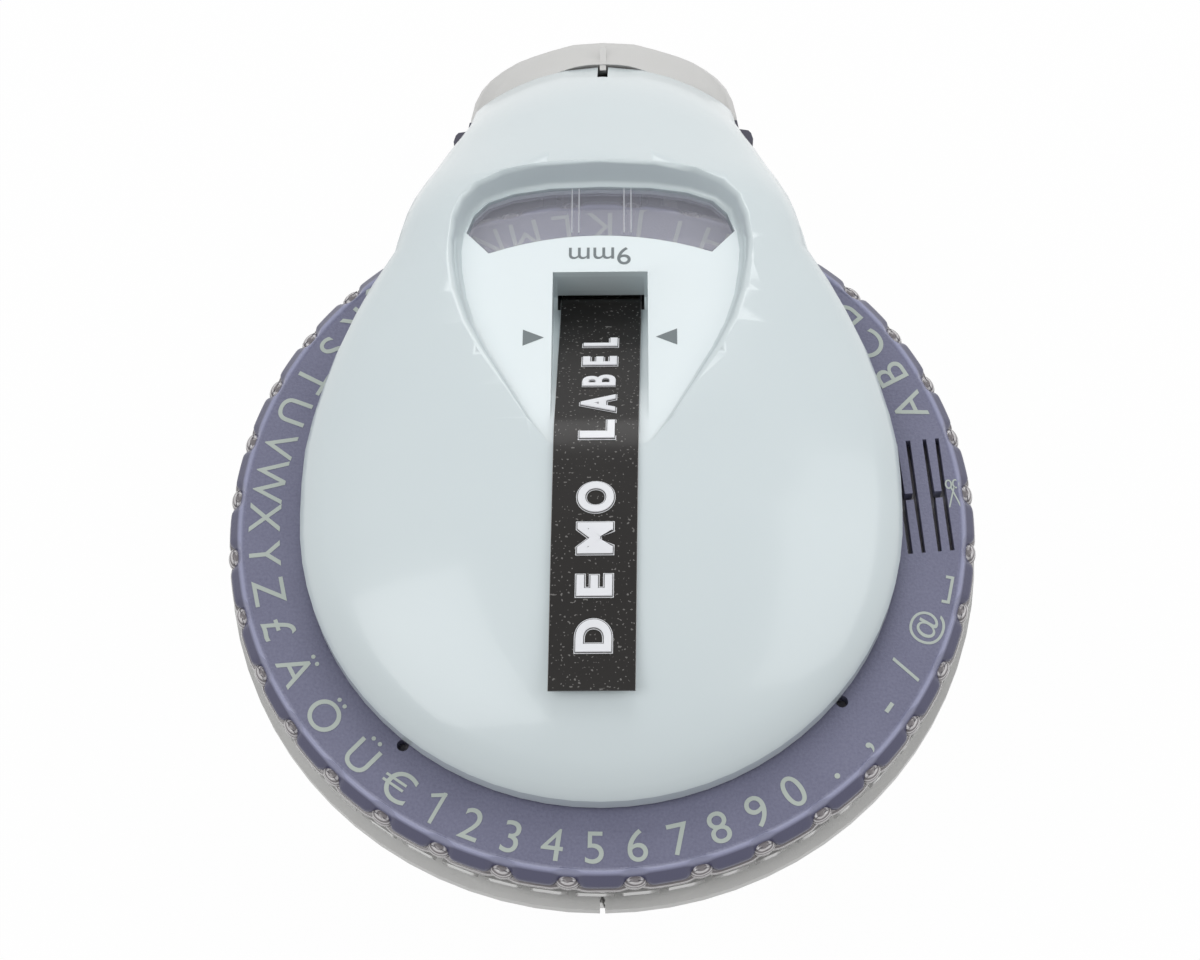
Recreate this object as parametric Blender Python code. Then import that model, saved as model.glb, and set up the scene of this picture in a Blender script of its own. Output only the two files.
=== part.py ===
import math

import bmesh
import bpy
from mathutils import Matrix, Vector

for old in list(bpy.data.objects):
    bpy.data.objects.remove(old)

# Driving sizes, in metres. Heights run up from the flat foot, the wheel turns about the Z axis.
guide_length = 0.100
dial_top = 0.056
running_gap = 0.0003
close_gap = 0.00025
overrun = 0.001

hole_steps = 12
pin_steps = 18
roll_steps = 48

# Shares below are parts of the guide length, heights in them are taken from the top of the dial.
cover_station_shares = (
    (0.000, 0.3400, 0.000, 0.004, 0.1150),
    (0.040, 0.3400, 0.000, 0.004, 0.1155),
    (0.080, 0.3380, 0.000, 0.004, 0.1160),
    (0.120, 0.3310, 0.000, 0.004, 0.1155),
    (0.160, 0.3210, 0.000, 0.004, 0.1145),
    (0.203, 0.3080, 0.000, 0.004, 0.1130),
    (0.245, 0.2910, 0.000, 0.004, 0.1110),
    (0.285, 0.2720, 0.000, 0.003, 0.1085),
    (0.330, 0.2460, 0.000, 0.004, 0.1045),
    (0.358, 0.2400, 0.000, 0.003, 0.1005),
    (0.388, 0.2345, 0.000, -0.011, 0.0950),
    (0.420, 0.2280, 0.003, -0.030, 0.0840),
    (0.460, 0.2160, 0.008, -0.048, 0.0560),
    (0.500, 0.2040, 0.015, -0.068, 0.0260),
    (0.545, 0.1910, 0.023, -0.088, -0.0020),
    (0.590, 0.1790, 0.033, -0.112, -0.0330),
    (0.635, 0.1705, 0.044, -0.138, -0.0740),
    (0.664, 0.1680, 0.051, -0.152, -0.1050),
    (0.690, 0.1655, 0.057, -0.165, -0.1310),
)
cover_beyond_share = (0.730, 0.1620, 0.062, -0.185, -0.163)
cover_squareness = 1.95
cover_tail_squareness = 2.5
cover_levels = 8
cover_front_ribs = 36
cover_wall_rise = 0.0022
cover_tail_rise = 0.0008
cover_wall = 0.0019

recess_outline_shares = (
    (0.000, 0.034), (0.030, 0.036), (0.056, 0.046), (0.080, 0.080), (0.107, 0.130), (0.130, 0.172),
    (0.148, 0.212), (0.160, 0.252), (0.166, 0.292), (0.168, 0.322), (0.165, 0.352), (0.156, 0.380),
    (0.139, 0.400), (0.108, 0.414), (0.062, 0.423), (0.000, 0.426),
)
recess_floor_start_share = 0.112
recess_floor_slope = -0.2
recess_floor_from_share = 0.030
recess_fillet = 0.0006
recess_centre_share = 0.280
recess_lip = 0.0016
lip_part = 0.55
lip_steps = 3
floor_wall = 0.0015

channel_half_width = 0.0055
channel_side_shares = ((0.292, 0.100), (0.286, 0.004), (0.268, 0.004), (0.072, 0.1065), (0.072, 0.150), (0.292, 0.150))
channel_tub_shares = ((0.309, 0.060), (0.303, -0.012), (0.262, -0.012), (0.080, 0.083), (0.080, 0.150), (0.309, 0.150))

lens_inner_radius = 0.0346
lens_margin = 0.0011
lens_corner = 0.0012
lens_rebate = 0.0010
lens_plate = 0.0010
lens_steps = 12

notch_width = 0.0013
notch_length = 0.0042
notch_depth = 0.0009
latch_hole_length = 0.0009
latch_tab_width = 0.0008
latch_tab_length = 0.0008

# The wheel: dial, two die rings with teeth inside, the pinion between them.
dial_inner_radius = 0.0336
dial_lip_radius = 0.0410
dial_rim_radius = 0.0425
dial_notch_radius = 0.0416
dial_chamfer_drop = 0.0009
dial_thickness = 0.0017
rim_notches = 36
notch_angles = (-2.9, 2.9, 3.8, 6.2)
keyhole_radius = 0.0007
keyhole_pitch_radius = 0.0350
keyhole_first_angle = 49.5

die_steps = 108
die_top_drop = 0.0019
die_thickness = 0.0010
die_outer_radius = 0.0424
bump_inner_radius = 0.0419
bump_outer_radius = 0.0428
bump_top_drop = 0.0009
bump_root_share = 0.8
bump_inner_half = 0.0005
bump_outer_half = 0.0010
lower_die_drop = 0.00375
lower_die_thickness = 0.00115
finger_slot_width = 0.0009
finger_slot_root = 0.0362
letter_steps = (1.0,) * 16 + (1.2, 1.4, 1.4, 1.2) + (1.0,) * 10 + (1.05,) * 4 + (1.2, 1.1, 2.5, 2.5) + (1.0,) * 10

cutter_step = 37

ring_teeth = 66
pinion_teeth = 11
tooth_module = 0.00098
tooth_shares_ring = ((-0.80, 0.12), (0.96, 0.27))
tooth_shares_pinion = ((-1.02, 0.28), (0.00, 0.19), (0.70, 0.08))
pinion_bore_radius = 0.0022
pinion_pin_radius = 0.0019
pinion_pin_head_radius = 0.0030

cutter_outer_window = (0.0376, 0.0395)
cutter_inner_window = (0.0342, 0.0362)
cutter_gate = 0.0008
cutter_window_length = 0.0140
cutter_slit = 0.00045
blade_length = 0.0110
blade_thickness = 0.0004
blade_radius = 0.0386

# The inner frame that carries the wheel and the tape parts.
frame_radius = 0.0410
frame_steps = 72
frame_plate_drop = 0.0052
frame_plate_thickness = 0.0015
guide_radius = 0.0312
guide_bore_radius = 0.0238
guide_top_drop = 0.0021
pinion_pocket_radius = 0.0067
tape_gate_half_width = 0.0078
tape_gate_start = 0.0170
tape_gate_drop = 0.0043
tape_mouth_y = (0.0269, 0.0289)
tape_mouth_rise = 0.0050
cheek_inner = 0.0056
cheek_outer = 0.0072
cheek_shares = (
    (0.310, -0.058), (0.310, -0.170), (0.400, -0.210), (0.440, -0.330), (0.500, -0.424), (0.620, -0.424),
    (0.672, -0.350), (0.690, -0.270), (0.640, -0.180), (0.560, -0.110), (0.530, -0.056), (0.390, -0.056),
)

# The housing, split in two halves along the middle.
flange_radius = 0.0440
flange_drops = (0.0065, 0.0079)
flange_root_drop = 0.0084
bowl_radius = 0.0427
bowl_bend_drop = 0.0200
foot_radius = 0.0262
bowl_squareness = 2.25
bowl_bend_steps = 8
bowl_wall = 0.0021
bowl_steps = 72
seat_radius = 0.0413
seat_drop = 0.00695
seat_inner_radius = 0.0394

body_side_shares = (
    (0.100, 0.2420), (0.250, 0.2420), (0.340, 0.2425), (0.380, 0.2425), (0.420, 0.2370), (0.460, 0.2240),
    (0.500, 0.2090), (0.540, 0.1940), (0.580, 0.1825),
)
body_end_share = 0.620
body_end_squareness = 2.6
body_end_steps = 10
body_level_shares = (
    (0.010, 0.004, 0.060, 0.050), (-0.128, 0.003, 0.075, 0.070), (-0.136, 0.003, 0.115, 0.086),
    (-0.148, 0.002, 0.145, 0.108), (-0.166, 0.001, 0.163, 0.129), (-0.200, 0.000, 0.174, 0.151),
    (-0.260, 0.000, 0.177, 0.166), (-0.330, 0.000, 0.176, 0.166), (-0.380, 0.003, 0.172, 0.157),
    (-0.415, 0.014, 0.160, 0.138), (-0.435, 0.032, 0.142, 0.114), (-0.445, 0.058, 0.116, 0.086),
)
body_void_shares = (
    (0.020, 0.024, 0.040, 0.032), (-0.146, 0.022, 0.060, 0.060), (-0.156, 0.022, 0.100, 0.076),
    (-0.172, 0.021, 0.136, 0.102), (-0.206, 0.020, 0.154, 0.131), (-0.260, 0.020, 0.158, 0.147),
    (-0.330, 0.020, 0.157, 0.147), (-0.380, 0.022, 0.153, 0.138), (-0.410, 0.034, 0.139, 0.116),
    (-0.427, 0.058, 0.114, 0.088),
)
body_edge_shares = (
    (-0.600, 0.001), (0.332, -0.002), (0.380, -0.016), (0.417, -0.034), (0.452, -0.052), (0.485, -0.072),
    (0.522, -0.092), (0.557, -0.116), (0.591, -0.142), (0.633, -0.170), (0.800, -0.170), (0.800, 0.100),
    (-0.600, 0.100),
)
wheel_pocket_radius = 0.0432
wheel_pocket_drop = 0.0064
half_seam = 0.0003
front_slit = 0.0006
stem_opening_half = 0.0098
stem_opening_y = (0.0200, 0.0420)
stem_opening_z = (0.0022, 0.0134)
door_arc_centre = 0.0417
door_arc_radius = 0.0273
arc_steps = 96

# Tape door at the rear, hinged under the floor.
hinge_y = 0.0684
hinge_drop = 0.0465
knuckle_radius = 0.0017
knuckle_bore = 0.0010
hinge_pin_radius = 0.0008
door_knuckle_half = 0.0030
body_knuckle_end = 0.0066
knuckle_web = 0.0030
web_top_drop = 0.0437

# Squeeze lever, hammer, feed works.
lever_pivot_y = 0.0120
lever_pivot_z = 0.0090
lever_station_shares = (
    (0.075, 0.045, 0.060, 0.115), (0.090, 0.068, 0.046, 0.130), (0.130, 0.074, 0.040, 0.134),
    (0.190, 0.074, 0.038, 0.112), (0.260, 0.074, 0.032, 0.080), (0.330, 0.080, 0.028, 0.060),
    (0.375, 0.090, 0.020, 0.056), (0.420, 0.102, 0.010, 0.056), (0.480, 0.122, 0.008, 0.056),
    (0.550, 0.130, 0.008, 0.056), (0.610, 0.122, 0.011, 0.054), (0.640, 0.098, 0.019, 0.048),
)
lever_squareness = 4.5
lever_steps = 20
lever_pin_radius = 0.0013
lever_bore_radius = 0.0016
lever_pin_half = 0.0118
boss_inner = 0.0090
boss_outer = 0.0140
boss_half_length = 0.0045
boss_top = 0.0130
boss_bottom = 0.0010
hammer_half_width = 0.0046
hammer_y = (0.0359, 0.0401)
hammer_rest_gap = 0.0004
hammer_top_drop = 0.0078
hammer_travel = 0.0027
spring_y = 0.0500
spring_radius = 0.0025
spring_wire = 0.00035
spring_turns = 4.5
spring_cup_radius = 0.0034
spring_cup_floor = 0.0030

feed_y = 0.0475
feed_drop = 0.00765
feed_roller_radius = 0.0039
feed_roller_half = 0.0049
feed_axle_radius = 0.0010
feed_bore_radius = 0.00125
ratchet_teeth = 12
ratchet_outer = 0.0052
ratchet_root = 0.0041
ratchet_x = (0.0076, 0.0092)
ratchet_face_angle = -15.0
pawl_reach = 0.0048
pawl_top_drop = 0.0017
pawl_bottom_drop = 0.0023
pawl_y = (0.0372, 0.0392)

roll_y = 0.0570
roll_drop = 0.0270
roll_radius = 0.0152
roll_bore = 0.0063
core_radius = 0.0060
core_bore = 0.0024
spindle_radius = 0.0021
tape_half_width = 0.0045
tape_thickness = 0.00025
tape_path_shares = (
    (0.670, -0.1505), (0.540, -0.0420), (0.528, -0.0358), (0.512, -0.0332), (0.440, -0.0330), (0.328, -0.0330),
    (0.312, -0.0322), (0.300, -0.0260), (0.287, -0.0020), (0.276, 0.0070), (0.262, 0.0120), (0.170, 0.0610),
    (0.110, 0.0920), (0.075, 0.1110), (0.045, 0.1180), (0.000, 0.1190), (-0.050, 0.1180), (-0.100, 0.1155),
    (-0.150, 0.1110), (-0.200, 0.1060), (-0.230, 0.1040), (-0.250, 0.1040),
)

grip_plan_shares = (
    (0.537, 0.1950), (0.546, 0.1925), (0.549, 0.2050), (0.554, 0.2070), (0.563, 0.2045), (0.568, 0.2000),
    (0.570, 0.1865), (0.586, 0.1820), (0.589, 0.1940), (0.594, 0.1960), (0.603, 0.1935), (0.607, 0.1900),
    (0.609, 0.1780), (0.622, 0.1760),
)
grip_back_shares = ((0.622, 0.1700), (0.580, 0.1765), (0.537, 0.1890))
grip_pocket_shares = (
    (0.534, 0.2200), (0.534, 0.1865), (0.580, 0.1738), (0.625, 0.1672), (0.625, 0.2200),
)
grip_top_drop = 0.0155
grip_bottom_drop = 0.0330

post_x = 0.0090
post_y = -0.0080
post_radius = 0.0030
post_bottom = 0.0010
boss_x = 0.0180
boss_y = -0.0020
cover_boss_radius = 0.0028
cover_boss_top_share = 0.080
screw_head_radius = 0.0025
screw_head_height = 0.0015
screw_shank_radius = 0.0011
screw_hole_radius = 0.0014
screw_length = 0.0065

# Colour, roughness and metallic value of each kind of piece.
looks = {
    "cover": ((0.63, 0.72, 0.74), 0.35, 0.0), "grey": ((0.62, 0.62, 0.60), 0.45, 0.0),
    "purple": ((0.15, 0.15, 0.24), 0.50, 0.0), "smoke": ((0.40, 0.38, 0.36), 0.15, 0.0),
    "milky": ((0.80, 0.80, 0.78), 0.20, 0.0), "clear": ((0.20, 0.21, 0.23), 0.08, 0.0),
    "steel": ((0.60, 0.60, 0.60), 0.30, 1.0), "tape": ((0.015, 0.014, 0.013), 0.30, 0.0),
    "dark": ((0.05, 0.05, 0.06), 0.55, 0.0), "white": ((0.80, 0.80, 0.78), 0.45, 0.0),
}


def metres(shares):
    return [tuple(value * guide_length for value in pair) for pair in shares]


def material(name, colour, roughness, metallic):
    made = bpy.data.materials.new(name)
    made.use_nodes = True
    sockets = made.node_tree.nodes["Principled BSDF"].inputs
    sockets["Base Color"].default_value = (*colour, 1.0)
    sockets["Roughness"].default_value = roughness
    sockets["Metallic"].default_value = metallic
    return made


def solid(name, points, faces):
    mesh = bpy.data.meshes.new(name)
    mesh.from_pydata(points, [], faces)
    work = bmesh.new()
    work.from_mesh(mesh)
    bmesh.ops.recalc_face_normals(work, faces=work.faces)
    work.to_mesh(mesh)
    work.free()
    item = bpy.data.objects.new(name, mesh)
    bpy.context.scene.collection.objects.link(item)
    return item


def strips(rings, wrap=False):
    count = len(rings[0])
    points = [tuple(point) for ring in rings for point in ring]
    faces = []
    last = len(rings) if wrap else len(rings) - 1
    for level in range(last):
        above = (level + 1) % len(rings)
        for index in range(count):
            nxt = (index + 1) % count
            faces.append((level * count + index, level * count + nxt, above * count + nxt, above * count + index))
    return points, faces


def loft(name, rings):
    points, faces = strips(rings)
    count = len(rings[0])
    faces.append(tuple(range(count)))
    faces.append(tuple(range(len(points) - count, len(points))))
    return solid(name, points, faces)


def hoop(name, rings):
    points, faces = strips(rings, wrap=True)
    return solid(name, points, faces)


def circle(radius, steps, height=0.0, centre=(0.0, 0.0), turn=0.0):
    return [(centre[0] + radius * math.cos(turn + math.tau * k / steps),
             centre[1] + radius * math.sin(turn + math.tau * k / steps), height) for k in range(steps)]


def turned(name, outline, steps, centre=(0.0, 0.0)):
    return loft(name, [circle(radius, steps, height, centre) for radius, height in outline])


def prism_z(name, outline, low, high):
    return loft(name, [[(x, y, low) for x, y in outline], [(x, y, high) for x, y in outline]])


def prism_x(name, outline, left, right):
    return loft(name, [[(left, y, z) for y, z in outline], [(right, y, z) for y, z in outline]])


def box(name, xs, ys, zs):
    return prism_z(name, [(xs[0], ys[0]), (xs[1], ys[0]), (xs[1], ys[1]), (xs[0], ys[1])], zs[0], zs[1])


def rod_x(name, radius, steps, left, right, y, z):
    return prism_x(name, [(y + radius * math.cos(math.tau * k / steps), z + radius * math.sin(math.tau * k / steps))
                          for k in range(steps)], left, right)


def joined(name, items):
    work = bmesh.new()
    for item in items:
        work.from_mesh(item.data)
        bpy.data.objects.remove(item)
    mesh = bpy.data.meshes.new(name)
    work.to_mesh(mesh)
    work.free()
    made = bpy.data.objects.new(name, mesh)
    bpy.context.scene.collection.objects.link(made)
    return made


def combine(target, tool, kind):
    step = target.modifiers.new(tool.name, "BOOLEAN")
    step.operation = kind
    step.solver = "EXACT"
    step.object = tool
    tool.hide_render = True
    tool.display_type = "WIRE"
    return target


def cut(target, *tools):
    for tool in tools:
        combine(target, tool, "DIFFERENCE")


def add(target, *tools):
    for tool in tools:
        combine(target, tool, "UNION")


def keep(target, tool):
    combine(target, tool, "INTERSECT")


def set_pivot(item, x, y, z):
    item.data.transform(Matrix.Translation(Vector((-x, -y, -z))))
    item.location = (x, y, z)


def finish(item, look, angle=32.0):
    item.data.materials.clear()
    item.data.materials.append(material(item.name, *looks[look]))
    for polygon in item.data.polygons:
        polygon.use_smooth = True
    item.data.set_sharp_from_angle(angle=math.radians(angle))
    return item


def spin(points, degrees):
    turn = math.radians(degrees)
    return [(x * math.cos(turn) - y * math.sin(turn), x * math.sin(turn) + y * math.cos(turn)) for x, y in points]


def up(height):
    return dial_top + height


def cover_solid(name, inset, drop, lower, extra_rows):
    stations = cover_station_shares + extra_rows
    sections = []
    for row in stations:
        centre, half, bow, edge, crown = metres([row])[0]
        half = half - inset
        low = up(edge) - lower
        high = up(crown) - drop
        power = cover_squareness + (cover_tail_squareness - cover_squareness) * row[0] / cover_station_shares[-1][0]
        wall = cover_wall_rise + (cover_tail_rise - cover_wall_rise) * row[0] / cover_station_shares[-1][0]
        side = [(half, centre - bow, low)]
        for level in range(cover_levels):
            turn = math.pi / 2 * level / (cover_levels - 1)
            across = max(math.cos(turn), 0.0) ** (2 / power)
            rise = math.sin(turn) ** (2 / power)
            side.append((half * across, centre - bow * across * across, low + wall + (high - low - wall) * rise))
        side[-1] = (0.0, centre, high)
        sections.append(side + [(-x, y, z) for x, y, z in reversed(side[:-1])])
    points = []
    faces = []
    index = []
    for section in sections:
        index.append(list(range(len(points), len(points) + len(section))))
        points += section
    width = len(sections[0])
    for near, far in zip(index, index[1:]):
        for k in range(width - 1):
            faces.append((near[k], near[k + 1], far[k + 1], far[k]))
        faces.append((near[0], far[0], far[-1], near[-1]))
    for k in range(cover_levels):
        near_right, far_right = index[-1][k], index[-1][k + 1]
        far_left, near_left = index[-1][width - 2 - k], index[-1][width - 1 - k]
        if far_left == far_right:
            faces.append((near_right, far_right, near_left))
        else:
            faces.append((near_right, far_right, far_left, near_left))
    ribs = [index[0][:cover_levels]]
    first = sections[0]
    for rib in range(1, cover_front_ribs):
        turn = math.pi * rib / cover_front_ribs
        row = []
        for level in range(cover_levels):
            reach = first[level][0]
            row.append(len(points))
            points.append((reach * math.cos(turn), -reach * math.sin(turn), first[level][2]))
        ribs.append(row)
    ribs.append([index[0][width - 1 - k] for k in range(cover_levels)])
    for near, far in zip(ribs, ribs[1:]):
        for k in range(cover_levels - 1):
            faces.append((near[k], near[k + 1], far[k + 1], far[k]))
        faces.append((near[-1], index[0][cover_levels], far[-1]))
    faces.append(tuple(row[0] for row in ribs))
    return solid(name, points, faces)


def grown_point(spot, amount):
    middle = Vector((0.0, recess_centre_share * guide_length))
    away = Vector(spot) - middle
    moved = middle + away + away.normalized() * amount
    return moved.x, moved.y


def grown(outline, amount):
    return [grown_point(spot, amount) for spot in outline]


def mirrored(outline):
    return outline + [(-x, y) for x, y in reversed(outline[1:-1])]


def floor_height(y):
    start = recess_floor_from_share * guide_length
    return up(recess_floor_start_share * guide_length) + recess_floor_slope * (y - start)


feed_z = up(-feed_drop)
roll_z = up(-roll_drop)
hinge_z = up(-hinge_drop)
spring_z = (spring_cup_floor + spring_wire + close_gap,
            up(body_level_shares[-1][0] * guide_length) - spring_wire - close_gap)
recess_outline = mirrored(metres(recess_outline_shares))
head_room = dial_top + dial_inner_radius


def cover_height(x, y):
    rows = metres(cover_station_shares)
    for near, far in zip(rows, rows[1:]):
        if y <= far[0]:
            break
    share = (y - near[0]) / (far[0] - near[0])
    half, edge, crown = (near[k] + (far[k] - near[k]) * share for k in (1, 3, 4))
    base = up(edge) + cover_wall_rise
    reach = min(abs(x) / half, 1.0)
    return base + (up(crown) - base) * (1.0 - reach ** cover_squareness) ** (1 / cover_squareness)


def recess_block(name, amount, lift):
    low = grown(recess_outline, amount - recess_fillet)
    mid = grown(recess_outline, amount)
    return loft(name, [
        [(x, y, floor_height(y) + lift) for x, y in low],
        [(x, y, floor_height(y) + lift + recess_fillet) for x, y in mid],
        [(x, y, head_room) for x, y in mid],
    ])


def recess_cutter(name):
    low = grown(recess_outline, -recess_fillet)
    mid = recess_outline
    tops = [cover_height(x, y) for x, y in mid]
    lips = [min(recess_lip, max(top - floor_height(y) - recess_fillet, 0.0) * lip_part)
            for top, (x, y) in zip(tops, mid)]
    rings = [[(x, y, floor_height(y)) for x, y in low],
             [(x, y, min(floor_height(y) + recess_fillet, top - lip / 2))
              for top, lip, (x, y) in zip(tops, lips, mid)]]
    for step in range(1, lip_steps + 1):
        turn = math.pi / 2 * step / lip_steps
        ring = []
        for top, lip, spot in zip(tops, lips, mid):
            x, y = grown_point(spot, lip * (1 - math.cos(turn)))
            ring.append((x, y, top - lip + lip * math.sin(turn)))
        rings.append(ring)
    rings.append([(x, y, head_room) for x, y, z in rings[-1]])
    return loft(name, rings)


def at_up(shares):
    return [(y, up(z)) for y, z in metres(shares)]


def lens_outline(extra):
    front = lens_inner_radius - extra
    behind = [spot for spot in recess_outline
              if spot[1] > 0 and math.hypot(*spot) > lens_inner_radius + lens_margin + lens_corner]
    rear = grown(behind, extra - lens_margin)
    turn = math.atan2(*rear[0]) - lens_corner / front
    arc = [turn * (2 * k / lens_steps - 1) for k in range(lens_steps + 1)]
    return [(front * math.sin(angle), front * math.cos(angle)) for angle in arc] + rear


# Top cover: a shell with a sunk floor, a window, the tape channel and the latch notch.
cover = cover_solid("top_cover", 0.0, 0.0, 0.0, ())
hollow = cover_solid("cover_hollow", cover_wall, cover_wall, overrun, (cover_beyond_share,))
cut(hollow, recess_block("recess_tub", floor_wall, -floor_wall),
    prism_x("channel_tub", at_up(channel_tub_shares), -channel_half_width - floor_wall,
            channel_half_width + floor_wall))
cut(cover, hollow)
for side in (-1, 1):
    boss = turned("cover_boss", ((cover_boss_radius, up(-frame_plate_drop) + running_gap),
                                 (cover_boss_radius, up(cover_boss_top_share * guide_length))), pin_steps,
                  (side * boss_x, boss_y))
    add(cover, boss)
    cut(cover, turned("cover_boss_bore", ((screw_shank_radius + close_gap, dial_top - screw_length),
                                          (screw_shank_radius + close_gap, dial_top)), hole_steps, (side * boss_x, boss_y)))
cut(cover, recess_cutter("recess_cutter"),
    prism_x("channel_cutter", at_up(channel_side_shares), -channel_half_width, channel_half_width))
cut(cover, box("tape_mouth", (-tape_half_width - 2 * running_gap, tape_half_width + 2 * running_gap),
               tape_mouth_y, (dial_top - tape_gate_drop, up(tape_mouth_rise))))
window = lens_outline(close_gap)
window_low = [(x, y, floor_height(y) - 4 * floor_wall) for x, y in window]
cut(cover, loft("window_cutter", [window_low, [(x, y, head_room) for x, y in window]]))
tail_y = cover_station_shares[-1][0] * guide_length
tail_z = up(cover_station_shares[-1][4] * guide_length)
cut(cover, box("notch_cutter", (-notch_width / 2, notch_width / 2), (tail_y - notch_length, tail_y + overrun),
               (tail_z - notch_depth, dial_top)))
cut(cover, box("latch_hole", (-notch_width / 2, notch_width / 2),
               (tail_y - latch_tab_length - latch_hole_length, tail_y - latch_tab_length),
               (tail_z - 4 * cover_wall, dial_top)))
finish(cover, "cover")

lens_small = lens_outline(0.0)
lens_wide = lens_outline(lens_rebate)
lens = loft("window_lens", [
    [(x, y, floor_height(y) - floor_wall - running_gap - lens_plate) for x, y in lens_wide],
    [(x, y, floor_height(y) - floor_wall - running_gap) for x, y in lens_wide],
    [(x, y, floor_height(y) - floor_wall - running_gap) for x, y in lens_small],
    [(x, y, floor_height(y) - running_gap) for x, y in lens_small],
])
finish(lens, "clear")

# Letter dial: a flat ring with a scalloped rim and two cutter windows.
rim_turn = 360.0 / rim_notches
rim = []
for notch in range(rim_notches):
    for k, angle in enumerate(notch_angles):
        rim.append((math.radians(notch * rim_turn + angle), dial_rim_radius if k < 2 else dial_notch_radius))
rings = []
for turn, radius in rim:
    spot = (math.cos(turn), math.sin(turn))
    outline = ((dial_inner_radius, 0.0), (dial_lip_radius, 0.0), (radius, -dial_chamfer_drop),
               (radius, -dial_thickness), (dial_inner_radius, -dial_thickness))
    rings.append([(spot[0] * r, spot[1] * r, up(z)) for r, z in outline])
dial = hoop("letter_dial", rings)


def step_angle(count):
    pitch = 360.0 / sum(letter_steps)
    return 90.0 + pitch * sum(letter_steps[:count])


cutter_angle = step_angle(cutter_step)


def slit_outline(inner, outer):
    half = cutter_window_length / 2
    gate = cutter_gate / 2
    return [(inner, -half), (inner + cutter_slit, -half), (inner + cutter_slit, -gate), (outer - cutter_slit, -gate),
            (outer - cutter_slit, -half), (outer, -half), (outer, half), (outer - cutter_slit, half),
            (outer - cutter_slit, gate), (inner + cutter_slit, gate), (inner + cutter_slit, half), (inner, half)]


for near, far in (cutter_outer_window, cutter_inner_window):
    cut(dial, prism_z("cutter_slits", spin(slit_outline(near, far), cutter_angle), up(-dial_thickness - overrun),
                      up(overrun)))
holes = []
for k in range(4):
    turn = math.radians(keyhole_first_angle) + k * math.pi / 2
    spot = (keyhole_pitch_radius * math.cos(turn), keyhole_pitch_radius * math.sin(turn))
    holes.append(turned("key_hole", ((keyhole_radius, up(-dial_thickness - overrun)), (keyhole_radius, up(overrun))),
                        hole_steps, spot))
cut(dial, joined("key_holes", holes))
finish(dial, "purple")


def gear_outline(teeth, pitch, flank_shares, phase, inward):
    points = []
    rows = flank_shares if not inward else tuple(reversed(flank_shares))
    for tooth in range(teeth):
        middle = math.tau * tooth / teeth + phase
        for drop, half in rows:
            radius = pitch + drop * tooth_module
            points.append((radius, middle - half * math.pi * tooth_module / radius))
        for drop, half in reversed(rows):
            radius = pitch + drop * tooth_module
            points.append((radius, middle + half * math.pi * tooth_module / radius))
    return [(radius * math.cos(turn), radius * math.sin(turn)) for radius, turn in points]


ring_pitch = ring_teeth * tooth_module / 2
pinion_pitch = pinion_teeth * tooth_module / 2
pinion_y = pinion_pitch - ring_pitch
ring_gear = gear_outline(ring_teeth, ring_pitch, tooth_shares_ring, math.pi / 2, True)

bump_points = []
for notch in range(rim_notches):
    block = [(bump_inner_radius, -bump_inner_half), (bump_outer_radius, -bump_outer_half),
             (bump_outer_radius, bump_outer_half), (bump_inner_radius, bump_inner_half)]
    bump_points.append(spin(block, (notch + 0.5) * rim_turn))

upper_die = turned("upper_die_ring", ((die_outer_radius, up(-die_top_drop - die_thickness)),
                                      (die_outer_radius, up(-die_top_drop))), die_steps)
add(upper_die, joined("rim_bumps", [prism_z("rim_bump", outline, up(-die_top_drop - die_thickness * bump_root_share),
                                             up(-bump_top_drop)) for outline in bump_points]))
cut(upper_die, prism_z("upper_gear_cutter", ring_gear, up(-die_top_drop - die_thickness - overrun), up(overrun)))
blade_cut = [(blade_radius - blade_thickness, -blade_length / 2 - running_gap),
             (blade_radius + blade_thickness, -blade_length / 2 - running_gap),
             (blade_radius + blade_thickness, blade_length / 2 + running_gap),
             (blade_radius - blade_thickness, blade_length / 2 + running_gap)]
cut(upper_die, prism_z("blade_slot", spin(blade_cut, cutter_angle), up(-die_top_drop - die_thickness - overrun),
                       up(overrun)))
finish(upper_die, "smoke")

blade_plan = [(blade_radius - blade_thickness / 2, -blade_length / 2),
              (blade_radius + blade_thickness / 2, -blade_length / 2),
              (blade_radius + blade_thickness / 2, blade_length / 2),
              (blade_radius - blade_thickness / 2, blade_length / 2)]
blade = prism_z("cutter_blade", spin(blade_plan, cutter_angle), up(-die_top_drop - die_thickness - running_gap / 3),
                up(-dial_thickness - running_gap))
finish(blade, "steel")

lower_die = turned("lower_die_ring", ((die_outer_radius, up(-lower_die_drop - lower_die_thickness)),
                                      (die_outer_radius, up(-lower_die_drop))), die_steps)
cut(lower_die, prism_z("lower_gear_cutter", ring_gear, up(-lower_die_drop - lower_die_thickness - overrun),
                       up(overrun)))
slots = []
for count in range(len(letter_steps)):
    angle = step_angle(count) + 180.0 / sum(letter_steps) * letter_steps[count]
    slot = [(finger_slot_root, -finger_slot_width / 2), (die_outer_radius + overrun, -finger_slot_width / 2),
            (die_outer_radius + overrun, finger_slot_width / 2), (finger_slot_root, finger_slot_width / 2)]
    slots.append(prism_z("finger_slot", spin(slot, angle), up(-lower_die_drop - lower_die_thickness - overrun),
                         up(overrun)))
cut(lower_die, joined("finger_slots", slots))
finish(lower_die, "milky")

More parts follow.
